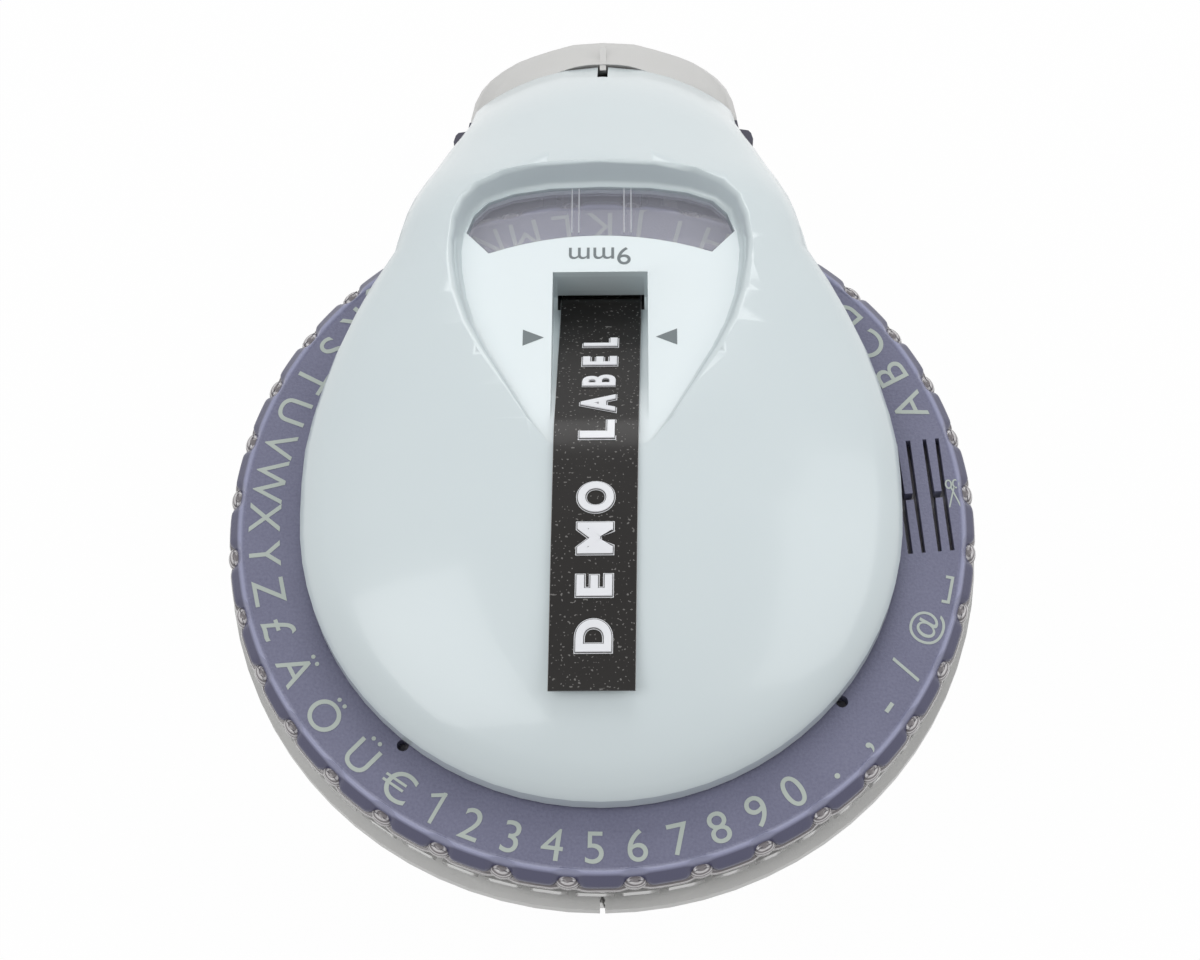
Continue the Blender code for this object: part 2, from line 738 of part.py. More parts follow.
pinion_low = up(-frame_plate_drop) + running_gap
pinion_high = up(-die_top_drop)
pinion_phase = math.pi / pinion_teeth - math.pi / 2
pinion_outline = gear_outline(pinion_teeth, pinion_pitch, tooth_shares_pinion, pinion_phase, False)
pinion = prism_z("sync_pinion", [(x, y + pinion_y) for x, y in pinion_outline], pinion_low, pinion_high)
cut(pinion, turned("pinion_bore_cutter", ((pinion_bore_radius, pinion_low - overrun),
                                          (pinion_bore_radius, pinion_high + overrun)), pin_steps, (0.0, pinion_y)))
set_pivot(pinion, 0.0, pinion_y, pinion_low)
finish(pinion, "white")
pin_head = pinion_high + running_gap
pinion_pin = turned("pinion_pin", (
    (pinion_pin_radius, up(-frame_plate_drop) - frame_plate_thickness),
    (pinion_pin_radius, pin_head), (pinion_pin_head_radius, pin_head),
    (pinion_pin_head_radius, pin_head + 2 * running_gap), (pinion_pin_radius, pin_head + 4 * running_gap)),
    pin_steps, (0.0, pinion_y))
finish(pinion_pin, "steel")

# Inner frame: round plate, guide rim for the wheel and two cheeks for the tape parts.
plate_top = up(-frame_plate_drop)
plate_low = plate_top - frame_plate_thickness
frame = turned("inner_frame", (
    (frame_radius, plate_low), (frame_radius, plate_top), (guide_radius, plate_top),
    (guide_radius, up(-guide_top_drop)), (guide_bore_radius, up(-guide_top_drop)), (guide_bore_radius, plate_top)), frame_steps)
cut(frame, turned("pinion_pocket", ((pinion_pocket_radius, plate_top), (pinion_pocket_radius, up(overrun))), roll_steps,
                  (0.0, pinion_y)))
cut(frame, box("tape_gate", (-tape_gate_half_width, tape_gate_half_width), (tape_gate_start, frame_radius),
               (up(-tape_gate_drop), up(overrun))))
cheeks = [prism_x("cheek", at_up(cheek_shares), *sorted((side * cheek_inner, side * cheek_outer))) for side in (-1, 1)]
add(frame, joined("cheeks", cheeks))
cut(frame, box("hammer_hole", (-hammer_half_width - running_gap, hammer_half_width + running_gap),
               (hammer_y[0] - running_gap, hammer_y[1] + running_gap), (plate_low - overrun, plate_top + overrun)))
cut(frame, turned("pin_hole", ((pinion_pin_radius + close_gap, plate_low - overrun),
                               (pinion_pin_radius + close_gap, plate_top + overrun)), pin_steps, (0.0, pinion_y)))
cut(frame, rod_x("feed_bearing", feed_bore_radius, pin_steps, -boss_inner, boss_inner, feed_y, feed_z),
    rod_x("spindle_bearing", spindle_radius + close_gap, pin_steps, -boss_inner, boss_inner, roll_y, roll_z))
pawl_low = feed_z - pawl_bottom_drop
pawl_high = feed_z - pawl_top_drop
cut(frame, box("pawl_window", (0.0, boss_inner), (pawl_y[0] - 2 * running_gap, pawl_y[1] + 2 * running_gap),
               (pawl_low - 2 * running_gap, pawl_high + hammer_travel + running_gap)))
screw_spots = ((-post_x, post_y), (post_x, post_y), (-boss_x, boss_y), (boss_x, boss_y))
cut(frame, joined("screw_holes", [turned("screw_hole", ((screw_hole_radius, plate_low - overrun),
                                                        (screw_hole_radius, plate_top + overrun)), hole_steps, spot)
                                  for spot in screw_spots]))
finish(frame, "dark")

screw_names = ("frame_screw_left", "frame_screw_right", "cover_screw_left", "cover_screw_right")
for name, (x, y) in zip(screw_names, screw_spots):
    if abs(x) == post_x:
        rest, way = plate_top + running_gap, 1
    else:
        rest, way = plate_low - running_gap, -1
    screw = turned(name, ((screw_shank_radius, rest - way * screw_length), (screw_shank_radius, rest),
                          (screw_head_radius, rest), (screw_head_radius, rest + way * screw_head_height)), hole_steps, (x, y))
    finish(screw, "steel")


# Housing: round bowl and hollow handle in one, split along the middle into two halves.
def body_solid(name, level_shares):
    rings = []
    for height, inset, across, reach in metres(level_shares):
        sides = []
        for y, half in metres(body_side_shares):
            sides.append((half - inset, y))
        end = []
        for k in range(body_end_steps + 1):
            turn = math.pi / 2 * k / body_end_steps
            x = across * max(math.cos(turn), 0.0) ** (2 / body_end_squareness)
            y = body_end_share * guide_length + reach * math.sin(turn) ** (2 / body_end_squareness)
            end.append((x, y))
        end[-1] = (0.0, end[-1][1])
        half_ring = sides + end
        ring = half_ring + [(-x, y) for x, y in reversed(half_ring[:-1])]
        rings.append([(x, y, up(height)) for x, y in ring])
    return loft(name, rings)


def bowl_side(inset):
    points = []
    for k in range(bowl_bend_steps + 1):
        turn = math.pi / 2 * k / bowl_bend_steps
        across = max(math.cos(turn), 0.0) ** (2 / bowl_squareness)
        down = math.sin(turn) ** (2 / bowl_squareness)
        radius = foot_radius + (bowl_radius - foot_radius) * across - inset
        points.append((radius, up(-bowl_bend_drop) - (dial_top - bowl_bend_drop - inset) * down))
    return points


def bowl_outer(name):
    flange = [(flange_radius, up(-flange_drops[0])), (flange_radius, up(-flange_drops[1])),
              (bowl_radius, up(-flange_root_drop))]
    return turned(name, flange + bowl_side(0.0), bowl_steps)


def bowl_inner(name):
    seat = [(seat_radius, up(-frame_plate_drop)), (seat_radius, up(-seat_drop)), (seat_inner_radius, up(-seat_drop))]
    return turned(name, seat + bowl_side(bowl_wall), bowl_steps)


def arc_block(name, radius, low, high):
    return turned(name, ((radius, low), (radius, high)), arc_steps, (0.0, door_arc_centre))


room = dial_top + guide_length


def housing_half(name, side):
    body = bowl_outer(name)
    add(body, body_solid(name + "_handle", body_level_shares))
    wheel_room = turned(name + "_wheel_room", ((wheel_pocket_radius, up(-wheel_pocket_drop)),
                                               (wheel_pocket_radius, room)), bowl_steps)
    cut(body, bowl_inner(name + "_bowl_room"), body_solid(name + "_handle_room", body_void_shares), wheel_room,
        prism_x(name + "_edge", at_up(body_edge_shares), -guide_length, guide_length),
        box(name + "_stem", (-stem_opening_half, stem_opening_half), stem_opening_y, stem_opening_z))
    ears = [rod_x(name + "_ear", knuckle_radius, pin_steps, *sorted((side * (door_knuckle_half + running_gap),
                                                               side * body_knuckle_end)), hinge_y, hinge_z),
            box(name + "_ear_web", sorted((side * (door_knuckle_half + running_gap), side * body_knuckle_end)),
                (hinge_y - knuckle_web, hinge_y - knuckle_radius / 2), (hinge_z, up(-web_top_drop)))]
    add(body, *ears)
    post = turned(name + "_post", ((post_radius, post_bottom), (post_radius, plate_low - running_gap)), pin_steps,
                  (side * post_x, post_y))
    lug = box(name + "_lug", sorted((side * boss_inner, side * boss_outer)),
              (lever_pivot_y - boss_half_length, lever_pivot_y + boss_half_length), (boss_bottom, boss_top))
    add(body, post, lug)
    cut(body, turned(name + "_pilot", ((screw_shank_radius + close_gap, plate_low - screw_length),
                                       (screw_shank_radius + close_gap, plate_top)), hole_steps, (side * post_x, post_y)),
        rod_x(name + "_lever_bore", lever_bore_radius, pin_steps, *sorted((0.0, side * (lever_pin_half + running_gap))),
              lever_pivot_y, lever_pivot_z),
        rod_x(name + "_hinge_bore", knuckle_bore, hole_steps, -room, room, hinge_y, hinge_z))
    pocket = [(side * x, y) for y, x in metres(grip_pocket_shares)]
    cut(body, prism_z(name + "_grip_pocket", pocket, up(-grip_bottom_drop) - running_gap,
                      up(-grip_top_drop) + running_gap))
    cut(body, box(name + "_front_slit", (-front_slit / 2, front_slit / 2),
                  (-flange_radius - overrun, -bowl_radius), (up(-flange_root_drop), dial_top)))
    keep(body, arc_limit(name + "_limit", side))
    return body


def arc_limit(name, side):
    outline = [(side * half_seam / 2, -guide_length / 2)]
    outline.append((side * guide_length / 2, -guide_length / 2))
    outline.append((side * guide_length / 2, door_arc_centre))
    for k in range(arc_steps // 4 + 1):
        turn = math.tau * k / arc_steps
        x = door_arc_radius * math.cos(turn)
        y = door_arc_centre + door_arc_radius * math.sin(turn)
        if x >= half_seam / 2:
            outline.append((side * x, y))
    outline.append((side * half_seam / 2, door_arc_centre + door_arc_radius))
    return prism_z(name, outline, -overrun, room)


left = housing_half("base_left", -1)
right = housing_half("base_right", 1)
for half in (left, right):
    finish(half, "grey")

door = body_solid("tape_door", body_level_shares)
cut(door, body_solid("door_room", body_void_shares),
    arc_block("door_arc", door_arc_radius + running_gap, -overrun, room),
    box("door_front", (-guide_length, guide_length), (-guide_length, body_end_share * guide_length),
        (-overrun, room)))
add(door, rod_x("door_knuckle", knuckle_radius, pin_steps, -door_knuckle_half, door_knuckle_half, hinge_y, hinge_z),
    box("door_web", (-door_knuckle_half, door_knuckle_half),
        (door_arc_centre + door_arc_radius + running_gap, hinge_y + knuckle_web + overrun),
        (hinge_z - knuckle_radius / 3, up(-web_top_drop))))
cut(door, rod_x("door_bore", knuckle_bore, hole_steps, -room, room, hinge_y, hinge_z))
add(door, box("latch_tab", (-latch_tab_width / 2, latch_tab_width / 2),
              (tail_y - latch_tab_length + running_gap, tail_y + 3 * overrun),
              (tail_z - notch_depth + running_gap, tail_z)))
set_pivot(door, 0.0, hinge_y, hinge_z)
finish(door, "grey")
hinge_pin = rod_x("door_pin", hinge_pin_radius, hole_steps, -body_knuckle_end, body_knuckle_end, hinge_y, hinge_z)
finish(hinge_pin, "steel")

# Squeeze lever with its pin, spring, hammer and pawl.
rings = []
for y, half, low, high in metres(lever_station_shares):
    middle = (low + high) / 2
    ring = []
    for k in range(lever_steps):
        turn = math.tau * (k + 0.5) / lever_steps
        across = math.copysign(abs(math.cos(turn)) ** (2 / lever_squareness), math.cos(turn))
        rise = math.copysign(abs(math.sin(turn)) ** (2 / lever_squareness), math.sin(turn))
        ring.append((half * across, y, middle + (high - low) / 2 * rise))
    rings.append(ring)
lever = loft("squeeze_lever", rings)
cut(lever, rod_x("lever_bore", lever_bore_radius, pin_steps, -room, room, lever_pivot_y, lever_pivot_z),
    turned("spring_cup", ((spring_cup_radius, spring_cup_floor), (spring_cup_radius, spring_z[1])), pin_steps,
           (0.0, spring_y)))
set_pivot(lever, 0.0, lever_pivot_y, lever_pivot_z)
finish(lever, "purple")
lever_pin = rod_x("lever_pin", lever_pin_radius, pin_steps, -lever_pin_half, lever_pin_half, lever_pivot_y, lever_pivot_z)
finish(lever_pin, "steel")

coil_steps = 9
wire_steps = 6
coil_rings = []
total = int(spring_turns * coil_steps)
rise_span = spring_z[1] - spring_z[0]
for k in range(total + 1):
    turn = math.tau * k / coil_steps
    height = spring_z[0] + rise_span * k / total
    centre = Vector((spring_radius * math.cos(turn), spring_y + spring_radius * math.sin(turn), height))
    outward = Vector((math.cos(turn), math.sin(turn), 0.0))
    coil_rings.append([centre + outward * (spring_wire * math.cos(math.tau * j / wire_steps))
                       + Vector((0.0, 0.0, spring_wire * math.sin(math.tau * j / wire_steps)))
                       for j in range(wire_steps)])
spring = loft("return_spring", coil_rings)
finish(spring, "steel")
least = min((coil_rings[a][i] - coil_rings[b][j]).length
            for a in range(total + 1) for b in range(a + coil_steps // 2, total + 1)
            for i in range(wire_steps) for j in range(wire_steps))
print("least gap of the spring to itself in mm", round(least * 1000, 3))

hammer_low = lever_station_shares[-5][3] * guide_length + hammer_rest_gap
hammer = box("hammer", (-hammer_half_width, hammer_half_width), hammer_y, (hammer_low, up(-hammer_top_drop)))
set_pivot(hammer, 0.0, sum(hammer_y) / 2, hammer_low)
finish(hammer, "white")
pawl_start = hammer_half_width + running_gap
pawl_tip = feed_y - pawl_reach
pawl = prism_z("feed_pawl", ((pawl_start, pawl_y[0]), (ratchet_x[1], pawl_y[0]), (ratchet_x[1], pawl_tip),
                             (ratchet_x[0], pawl_tip), (ratchet_x[0], pawl_y[1]), (pawl_start, pawl_y[1])),
               pawl_low, pawl_high)
set_pivot(pawl, 0.0, sum(hammer_y) / 2, hammer_low)
finish(pawl, "steel")

roller = rod_x("feed_roller", feed_roller_radius, pin_steps, -feed_roller_half, feed_roller_half, feed_y, feed_z)
cut(roller, rod_x("roller_bore", feed_bore_radius, pin_steps, -room, room, feed_y, feed_z))
set_pivot(roller, 0.0, feed_y, feed_z)
finish(roller, "dark")
axle = rod_x("feed_axle", feed_axle_radius, pin_steps, -cheek_outer - running_gap, ratchet_x[1] + running_gap, feed_y, feed_z)
set_pivot(axle, 0.0, feed_y, feed_z)
finish(axle, "steel")
ratchet_outline = []
for tooth in range(ratchet_teeth):
    face = math.radians(180.0 - ratchet_face_angle) + math.tau * tooth / ratchet_teeth
    for radius in (ratchet_outer, ratchet_root):
        ratchet_outline.append((feed_y + radius * math.cos(face), feed_z + radius * math.sin(face)))
ratchet = prism_x("ratchet_wheel", ratchet_outline, *ratchet_x)
cut(ratchet, rod_x("ratchet_bore", feed_bore_radius, pin_steps, -room, room, feed_y, feed_z))
set_pivot(ratchet, 0.0, feed_y, feed_z)
finish(ratchet, "white")

# Tape roll, its core and spindle, and the strip that leaves it.
roll = rod_x("tape_roll", roll_radius, roll_steps, -tape_half_width, tape_half_width, roll_y, roll_z)
cut(roll, rod_x("roll_bore", roll_bore, roll_steps, -room, room, roll_y, roll_z))
set_pivot(roll, 0.0, roll_y, roll_z)
finish(roll, "tape")
core = rod_x("roll_core", core_radius, roll_steps, -tape_half_width, tape_half_width, roll_y, roll_z)
cut(core, rod_x("core_bore", core_bore, pin_steps, -room, room, roll_y, roll_z))
set_pivot(core, 0.0, roll_y, roll_z)
finish(core, "white")
spindle = rod_x("roll_spindle", spindle_radius, pin_steps, -cheek_outer, cheek_outer, roll_y, roll_z)
finish(spindle, "steel")

path = [Vector((0.0, y, up(z))) for y, z in metres(tape_path_shares)]
tape_rings = []
for k, point in enumerate(path):
    before = path[max(k - 1, 0)]
    after = path[min(k + 1, len(path) - 1)]
    along = (after - before).normalized()
    side = Vector((0.0, along.z, -along.y)) * (tape_thickness / 2)
    tape_rings.append([(-tape_half_width, *(point + side).yz), (tape_half_width, *(point + side).yz),
                       (tape_half_width, *(point - side).yz), (-tape_half_width, *(point - side).yz)])
strip = loft("tape_strip", tape_rings)
finish(strip, "tape")

for name, side in (("grip_pad_left", -1), ("grip_pad_right", 1)):
    plan = [(side * x, y) for y, x in metres(grip_plan_shares + grip_back_shares)]
    pad = prism_z(name, plan, up(-grip_bottom_drop), up(-grip_top_drop))
    finish(pad, "dark")
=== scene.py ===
import math
from itertools import accumulate

import bmesh
import bpy
from mathutils import Matrix, Vector


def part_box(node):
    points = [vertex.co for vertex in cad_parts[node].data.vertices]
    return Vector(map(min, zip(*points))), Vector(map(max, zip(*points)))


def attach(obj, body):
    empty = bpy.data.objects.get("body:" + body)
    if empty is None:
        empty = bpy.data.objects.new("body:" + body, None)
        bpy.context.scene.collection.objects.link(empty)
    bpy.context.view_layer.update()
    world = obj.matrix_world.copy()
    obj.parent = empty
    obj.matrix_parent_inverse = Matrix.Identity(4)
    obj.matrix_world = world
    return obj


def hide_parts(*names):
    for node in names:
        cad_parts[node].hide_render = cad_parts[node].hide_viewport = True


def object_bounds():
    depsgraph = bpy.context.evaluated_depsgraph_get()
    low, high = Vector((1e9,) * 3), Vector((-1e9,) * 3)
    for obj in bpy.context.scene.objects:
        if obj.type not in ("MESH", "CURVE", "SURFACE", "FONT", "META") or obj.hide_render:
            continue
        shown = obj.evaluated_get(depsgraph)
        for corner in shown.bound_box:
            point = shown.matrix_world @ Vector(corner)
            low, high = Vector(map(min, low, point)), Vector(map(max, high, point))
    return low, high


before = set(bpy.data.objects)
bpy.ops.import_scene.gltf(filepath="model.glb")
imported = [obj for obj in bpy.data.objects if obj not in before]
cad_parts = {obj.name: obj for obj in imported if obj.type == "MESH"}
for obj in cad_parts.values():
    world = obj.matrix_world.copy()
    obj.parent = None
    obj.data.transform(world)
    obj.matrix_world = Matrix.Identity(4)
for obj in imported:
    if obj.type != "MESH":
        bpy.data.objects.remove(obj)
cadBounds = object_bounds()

mm = 0.001
degree = math.pi / 180


def note(words):
    print("label maker:", words)


note("frame loaded")


# Shader maths: a Socket wraps one output, and sums or products on it add their Math nodes.
class Socket:
    def __init__(self, tree, link):
        self.tree = tree
        self.link = link

    def combine(self, operation, first, second):
        return self.tree.node("ShaderNodeMath", {"operation": operation}, first, second)

    def __add__(self, other):
        return self.combine("ADD", self, other)

    def __radd__(self, other):
        return self.combine("ADD", other, self)

    def __sub__(self, other):
        return self.combine("SUBTRACT", self, other)

    def __rsub__(self, other):
        return self.combine("SUBTRACT", other, self)

    def __mul__(self, other):
        return self.combine("MULTIPLY", self, other)

    def __rmul__(self, other):
        return self.combine("MULTIPLY", other, self)


class Finish:
    def __init__(self, name, **shader):
        self.material = bpy.data.materials.new(name)
        self.material.use_nodes = True
        self.nodes = self.material.node_tree.nodes
        self.links = self.material.node_tree.links
        self.shader = self.nodes["Principled BSDF"]
        for socketName, value in shader.items():
            self.feed(self.shader.inputs[socketName.replace("_", " ")], value)
        self.place = self.node("ShaderNodeTexCoord", {}, output="Object")

    def feed(self, socket, value):
        if isinstance(value, Socket):
            self.links.new(value.link, socket)
        elif isinstance(value, tuple) and len(value) == 3 and socket.type == "RGBA":
            socket.default_value = (*value, 1.0)
        else:
            socket.default_value = value

    def node(self, kind, settings, *values, output=0, **named):
        made = self.nodes.new(kind)
        for name, value in settings.items():
            if name == "stops":
                for stop, (where, level) in zip(made.color_ramp.elements, value):
                    stop.position = where
                    stop.color = (level, level, level, 1.0)
            else:
                setattr(made, name, value)
        for socket, value in zip(made.inputs, values):
            self.feed(socket, value)
        for name, value in named.items():
            self.feed(made.inputs[name.replace("_", " ")], value)
        return Socket(self, made.outputs[output])

    def noise(self, perMetre, detail=3.0):
        return self.node("ShaderNodeTexNoise", {}, Vector=self.place, Scale=perMetre, Detail=detail)

    def blend(self, amount, low, high):
        mix = self.nodes.new("ShaderNodeMix")
        mix.data_type = "RGBA"
        self.feed(mix.inputs[0], amount)
        self.feed(mix.inputs[6], low)
        self.feed(mix.inputs[7], high)
        return Socket(self, mix.outputs[2])

    def surface(self, colour=None, roughness=None, height=None, depth=0.02, distance=0.0001):
        if colour is not None:
            self.feed(self.shader.inputs["Base Color"], colour)
        if roughness is not None:
            self.feed(self.shader.inputs["Roughness"], roughness)
        if height is not None:
            bump = self.node("ShaderNodeBump", {}, Strength=depth, Distance=distance, Height=height)
            self.feed(self.shader.inputs["Normal"], bump)
        return self.material


def coverFinish():
    finish = Finish("coverPale", Coat_Weight=0.35, Coat_Roughness=0.06, Specular_IOR_Level=0.5)
    cloud = finish.noise(60)
    grain = finish.noise(1400, 2)
    colour = finish.blend(cloud, (0.655, 0.735, 0.760), (0.690, 0.765, 0.785))
    return finish.surface(colour, 0.22 + 0.04 * cloud, grain, 0.03)


def housingFinish():
    finish = Finish("housingGrey", Specular_IOR_Level=0.45)
    cloud = finish.noise(90)
    grain = finish.noise(5200, 2)
    colour = finish.blend(cloud, (0.600, 0.600, 0.590), (0.650, 0.648, 0.635))
    return finish.surface(colour, 0.42 + 0.12 * cloud, grain, 0.22)


def purpleFinish(name, low, high):
    finish = Finish(name, Specular_IOR_Level=0.4)
    cloud = finish.noise(160)
    grain = finish.noise(3000, 3)
    colour = finish.blend(0.35 * cloud + 0.65 * grain, low, high)
    return finish.surface(colour, 0.40 + 0.14 * cloud, grain, 0.55)


# The dial's rim: a painted highlight along the lip, and painted shade on the sloping band beyond it. Radii are in mm.
rimFinishSettings = {
    "lipHighlightStart": (40.75, 41.00),
    "slopeShadeStart": (41.22, 41.50),
}


def rimPaintedLightFinish(low, high, lip, slopeShade):
    finish = Finish("dialRimPurplePaintedLight", Specular_IOR_Level=0.5)
    grain = finish.noise(3000, 3)
    across = finish.node("ShaderNodeSeparateXYZ", {}, finish.place)
    along = Socket(finish, across.link.node.outputs["Y"])
    away = finish.node("ShaderNodeMath", {"operation": "SQRT"}, across * across + along * along) * (1 / mm)
    plain = finish.blend(grain, low, high)
    slopeShadeMask = finish.node("ShaderNodeMapRange", {}, away, *rimFinishSettings["slopeShadeStart"])
    lipHighlightMask = finish.node("ShaderNodeMapRange", {}, away, *rimFinishSettings["lipHighlightStart"])
    # Painted shade darkens the sloping band, and a painted highlight lightens the line along the lip.
    dark = finish.blend(slopeShadeMask, plain, slopeShade)
    edge = finish.blend(lipHighlightMask * (1.0 - slopeShadeMask), dark, lip)
    return finish.surface(edge, 0.32, grain, 0.35)


def plainFinish(name, low, high, rough, perMetre=2600, depth=0.15, **shader):
    finish = Finish(name, **shader)
    cloud = finish.noise(180)
    grain = finish.noise(perMetre, 2)
    return finish.surface(finish.blend(cloud, low, high), rough + 0.12 * cloud, grain, depth)


def steelFinish():
    finish = Finish("brightSteel", Metallic=1.0)
    streak = finish.node("ShaderNodeMapping", {}, finish.place, Scale=(400, 5200, 5200))
    lines = finish.node("ShaderNodeTexNoise", {}, Vector=streak, Scale=1.0, Detail=2.0)
    colour = finish.blend(lines, (0.48, 0.48, 0.49), (0.62, 0.62, 0.63))
    return finish.surface(colour, 0.24 + 0.16 * lines, lines, 0.06)


def tapeFinish():
    finish = Finish("tapeBlack", Specular_IOR_Level=0.30, Coat_Weight=0.06, Coat_Roughness=0.10)
    fleck = finish.noise(900, 4)
    cloud = finish.noise(120)
    dust = finish.node("ShaderNodeValToRGB", {"stops": ((0.735, 0.0), (0.76, 1.0))}, finish.noise(3600, 0))
    black = finish.blend(cloud, (0.006, 0.005, 0.0045), (0.011, 0.009, 0.008))
    colour = finish.blend(dust, black, (0.16, 0.155, 0.15))
    return finish.surface(colour, 0.24 + 0.16 * cloud, fleck, 0.08)


# Moulded clear ridges: thin bright and dark lines that follow the height. The bright lines are painted glints on the
# smoky plastic, and the same lines also give a small bump.
def ridgeGlintFinish():
    finish = Finish("ridgeClearGlints", Roughness=0.10, Alpha=0.88, IOR=1.49, Coat_Weight=0.8, Coat_Roughness=0.03)
    lines = finish.node("ShaderNodeTexWave", {"bands_direction": "Z"}, Vector=finish.place, Scale=1100.0,
                        Distortion=1.2, Detail=1.0, Detail_Scale=1.0, output=1)
    glintMask = finish.node("ShaderNodeValToRGB", {"stops": ((0.35, 0.0), (0.75, 1.0))}, lines)
    # The pale colour along the lines is painted glints; the dark colour is the smoky plastic.
    colour = finish.blend(glintMask, (0.20, 0.18, 0.19), (0.66, 0.64, 0.65))
    return finish.surface(colour, None, lines, 0.35)


def clearFinish(name, colour, rough, alpha):
    finish = Finish(name, Roughness=rough, Alpha=alpha, IOR=1.49, Coat_Weight=0.6, Coat_Roughness=0.03)
    ripple = finish.noise(240, 2)
    return finish.surface(finish.blend(ripple, colour, tuple(min(1.0, part * 1.06) for part in colour)),
                          None, ripple, 0.05)


finishes = {
    "cover": coverFinish(),
    "housing": housingFinish(),
    "purple": purpleFinish("dialPurple", (0.100, 0.102, 0.170), (0.225, 0.230, 0.325)),
    # The rim's third colour is the painted highlight along the lip, and the fourth is the painted shade on its sloping
    # band.
    "rim": rimPaintedLightFinish((0.110, 0.112, 0.190), (0.215, 0.220, 0.325), (0.300, 0.310, 0.450), (0.085, 0.085, 0.150)),
    "lever": purpleFinish("leverPurple", (0.150, 0.152, 0.215), (0.180, 0.182, 0.250)),
    "grip": plainFinish("gripDark", (0.060, 0.058, 0.085), (0.080, 0.077, 0.108), 0.55),
    "smoke": clearFinish("smokyClear", (0.30, 0.29, 0.31), 0.10, 0.72),
    "ridge": ridgeGlintFinish(),
    "milky": clearFinish("milkyClear", (0.56, 0.56, 0.55), 0.16, 0.90),
    "clear": clearFinish("clearWindow", (0.66, 0.66, 0.76), 0.05, 0.24),
    "dark": plainFinish("darkPlastic", (0.022, 0.022, 0.026), (0.034, 0.034, 0.040), 0.42),
    "white": plainFinish("whitePlastic", (0.60, 0.59, 0.55), (0.66, 0.65, 0.61), 0.38),
    "rubber": plainFinish("blackRubber", (0.014, 0.014, 0.014), (0.024, 0.024, 0.024), 0.62),
    "steel": steelFinish(),
    "tape": tapeFinish(),
    "glyph": plainFinish("glyphPaint", (0.40, 0.45, 0.42), (0.46, 0.51, 0.47), 0.45, 5200, 0.1),
    "mark": plainFinish("markPaint", (0.13, 0.16, 0.17), (0.16, 0.19, 0.20), 0.42, 5200, 0.1),
    "backing": plainFinish("backingPaper", (0.50, 0.50, 0.50), (0.60, 0.60, 0.60), 0.55, 5200, 0.1),
    "stress": plainFinish("stressWhite", (0.78, 0.80, 0.84), (0.90, 0.91, 0.94), 0.28, 5200, 0.1),
}
note("materials made")


def place(name, points, faces, look, smooth=True):
    mesh = bpy.data.meshes.new(name)
    mesh.from_pydata(points, [], faces)
    return settle(name, mesh, look, smooth)


def settle(name, mesh, look, smooth=True, angle=35):
    work = bmesh.new()
    work.from_mesh(mesh)
    bmesh.ops.recalc_face_normals(work, faces=work.faces)
    work.to_mesh(mesh)
    work.free()
    mesh.materials.clear()
    mesh.materials.append(finishes[look])
    for polygon in mesh.polygons:
        polygon.use_smooth = smooth
        polygon.material_index = 0
    mesh.set_sharp_from_angle(angle=angle * degree)
    piece = bpy.data.objects.new(name, mesh)
    bpy.context.scene.collection.objects.link(piece)
    return piece


def carry(piece, body, slotName, *nodes):
    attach(piece, body)
    if nodes:
        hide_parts(*nodes)


# A CAD node's mesh is loose triangles: this copy is merged, its flat faces joined and its edges softened.
def smoothCopy(name, node, look, body, slotName, shape=None, angle=32):
    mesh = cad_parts[node].data.copy()
    work = bmesh.new()
    work.from_mesh(mesh)
    bmesh.ops.remove_doubles(work, verts=work.verts, dist=0.002 * mm)
    bmesh.ops.dissolve_limit(work, angle_limit=0.2 * degree, verts=work.verts, edges=work.edges)
    if shape:
        for vertex in work.verts:
            vertex.co = shape(vertex.co)
    work.to_mesh(mesh)
    work.free()
    piece = settle(name, mesh, look, angle=angle)
    even = piece.modifiers.new("even", "WEIGHTED_NORMAL")
    even.keep_sharp = True
    carry(piece, body, slotName, node)
    return piece


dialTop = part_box("letter_dial")[1][2]

dialSettings = {
    "letters": "KLMNOPQRSTUVWXYZ£ÄÖÜ€1234567890.,-/@",
    "steps": [1.0] * 16 + [1.2, 1.4, 1.4, 1.2] + [1.0] * 10 + [1.05] * 4 + [1.2, 1.1, 2.5, 2.5] + [1.0] * 10,
    "afterCutter": "ABCDEFGHIJ",
    "radius": 38.2 * mm,
    "height": 3.8 * mm,
    "thick": 0.05 * mm,
    "barWidth": 0.30 * mm,
    "stemWidth": 0.42 * mm,
    "spaceWidth": 0.34 * mm,
    "atShare": 0.80,
    "scissorsRadius": 40.25 * mm,
    "scissorsLength": 3.3 * mm,
    "scissorsWidth": 1.5 * mm,
    "scissorsWeight": 0.17 * mm,
    "spaceRadius": 40.15 * mm,
    "spaceHalf": 1.5 * mm,
    "spaceTick": 0.6 * mm,
}


def dialTurns():
    steps = dialSettings["steps"]
    pitch = 360 / sum(steps)
    return [90 + pitch * total for total in accumulate([0.0] + steps)]


turns = dialTurns()
cutterTurn = turns[len(dialSettings["letters"]) + 1]

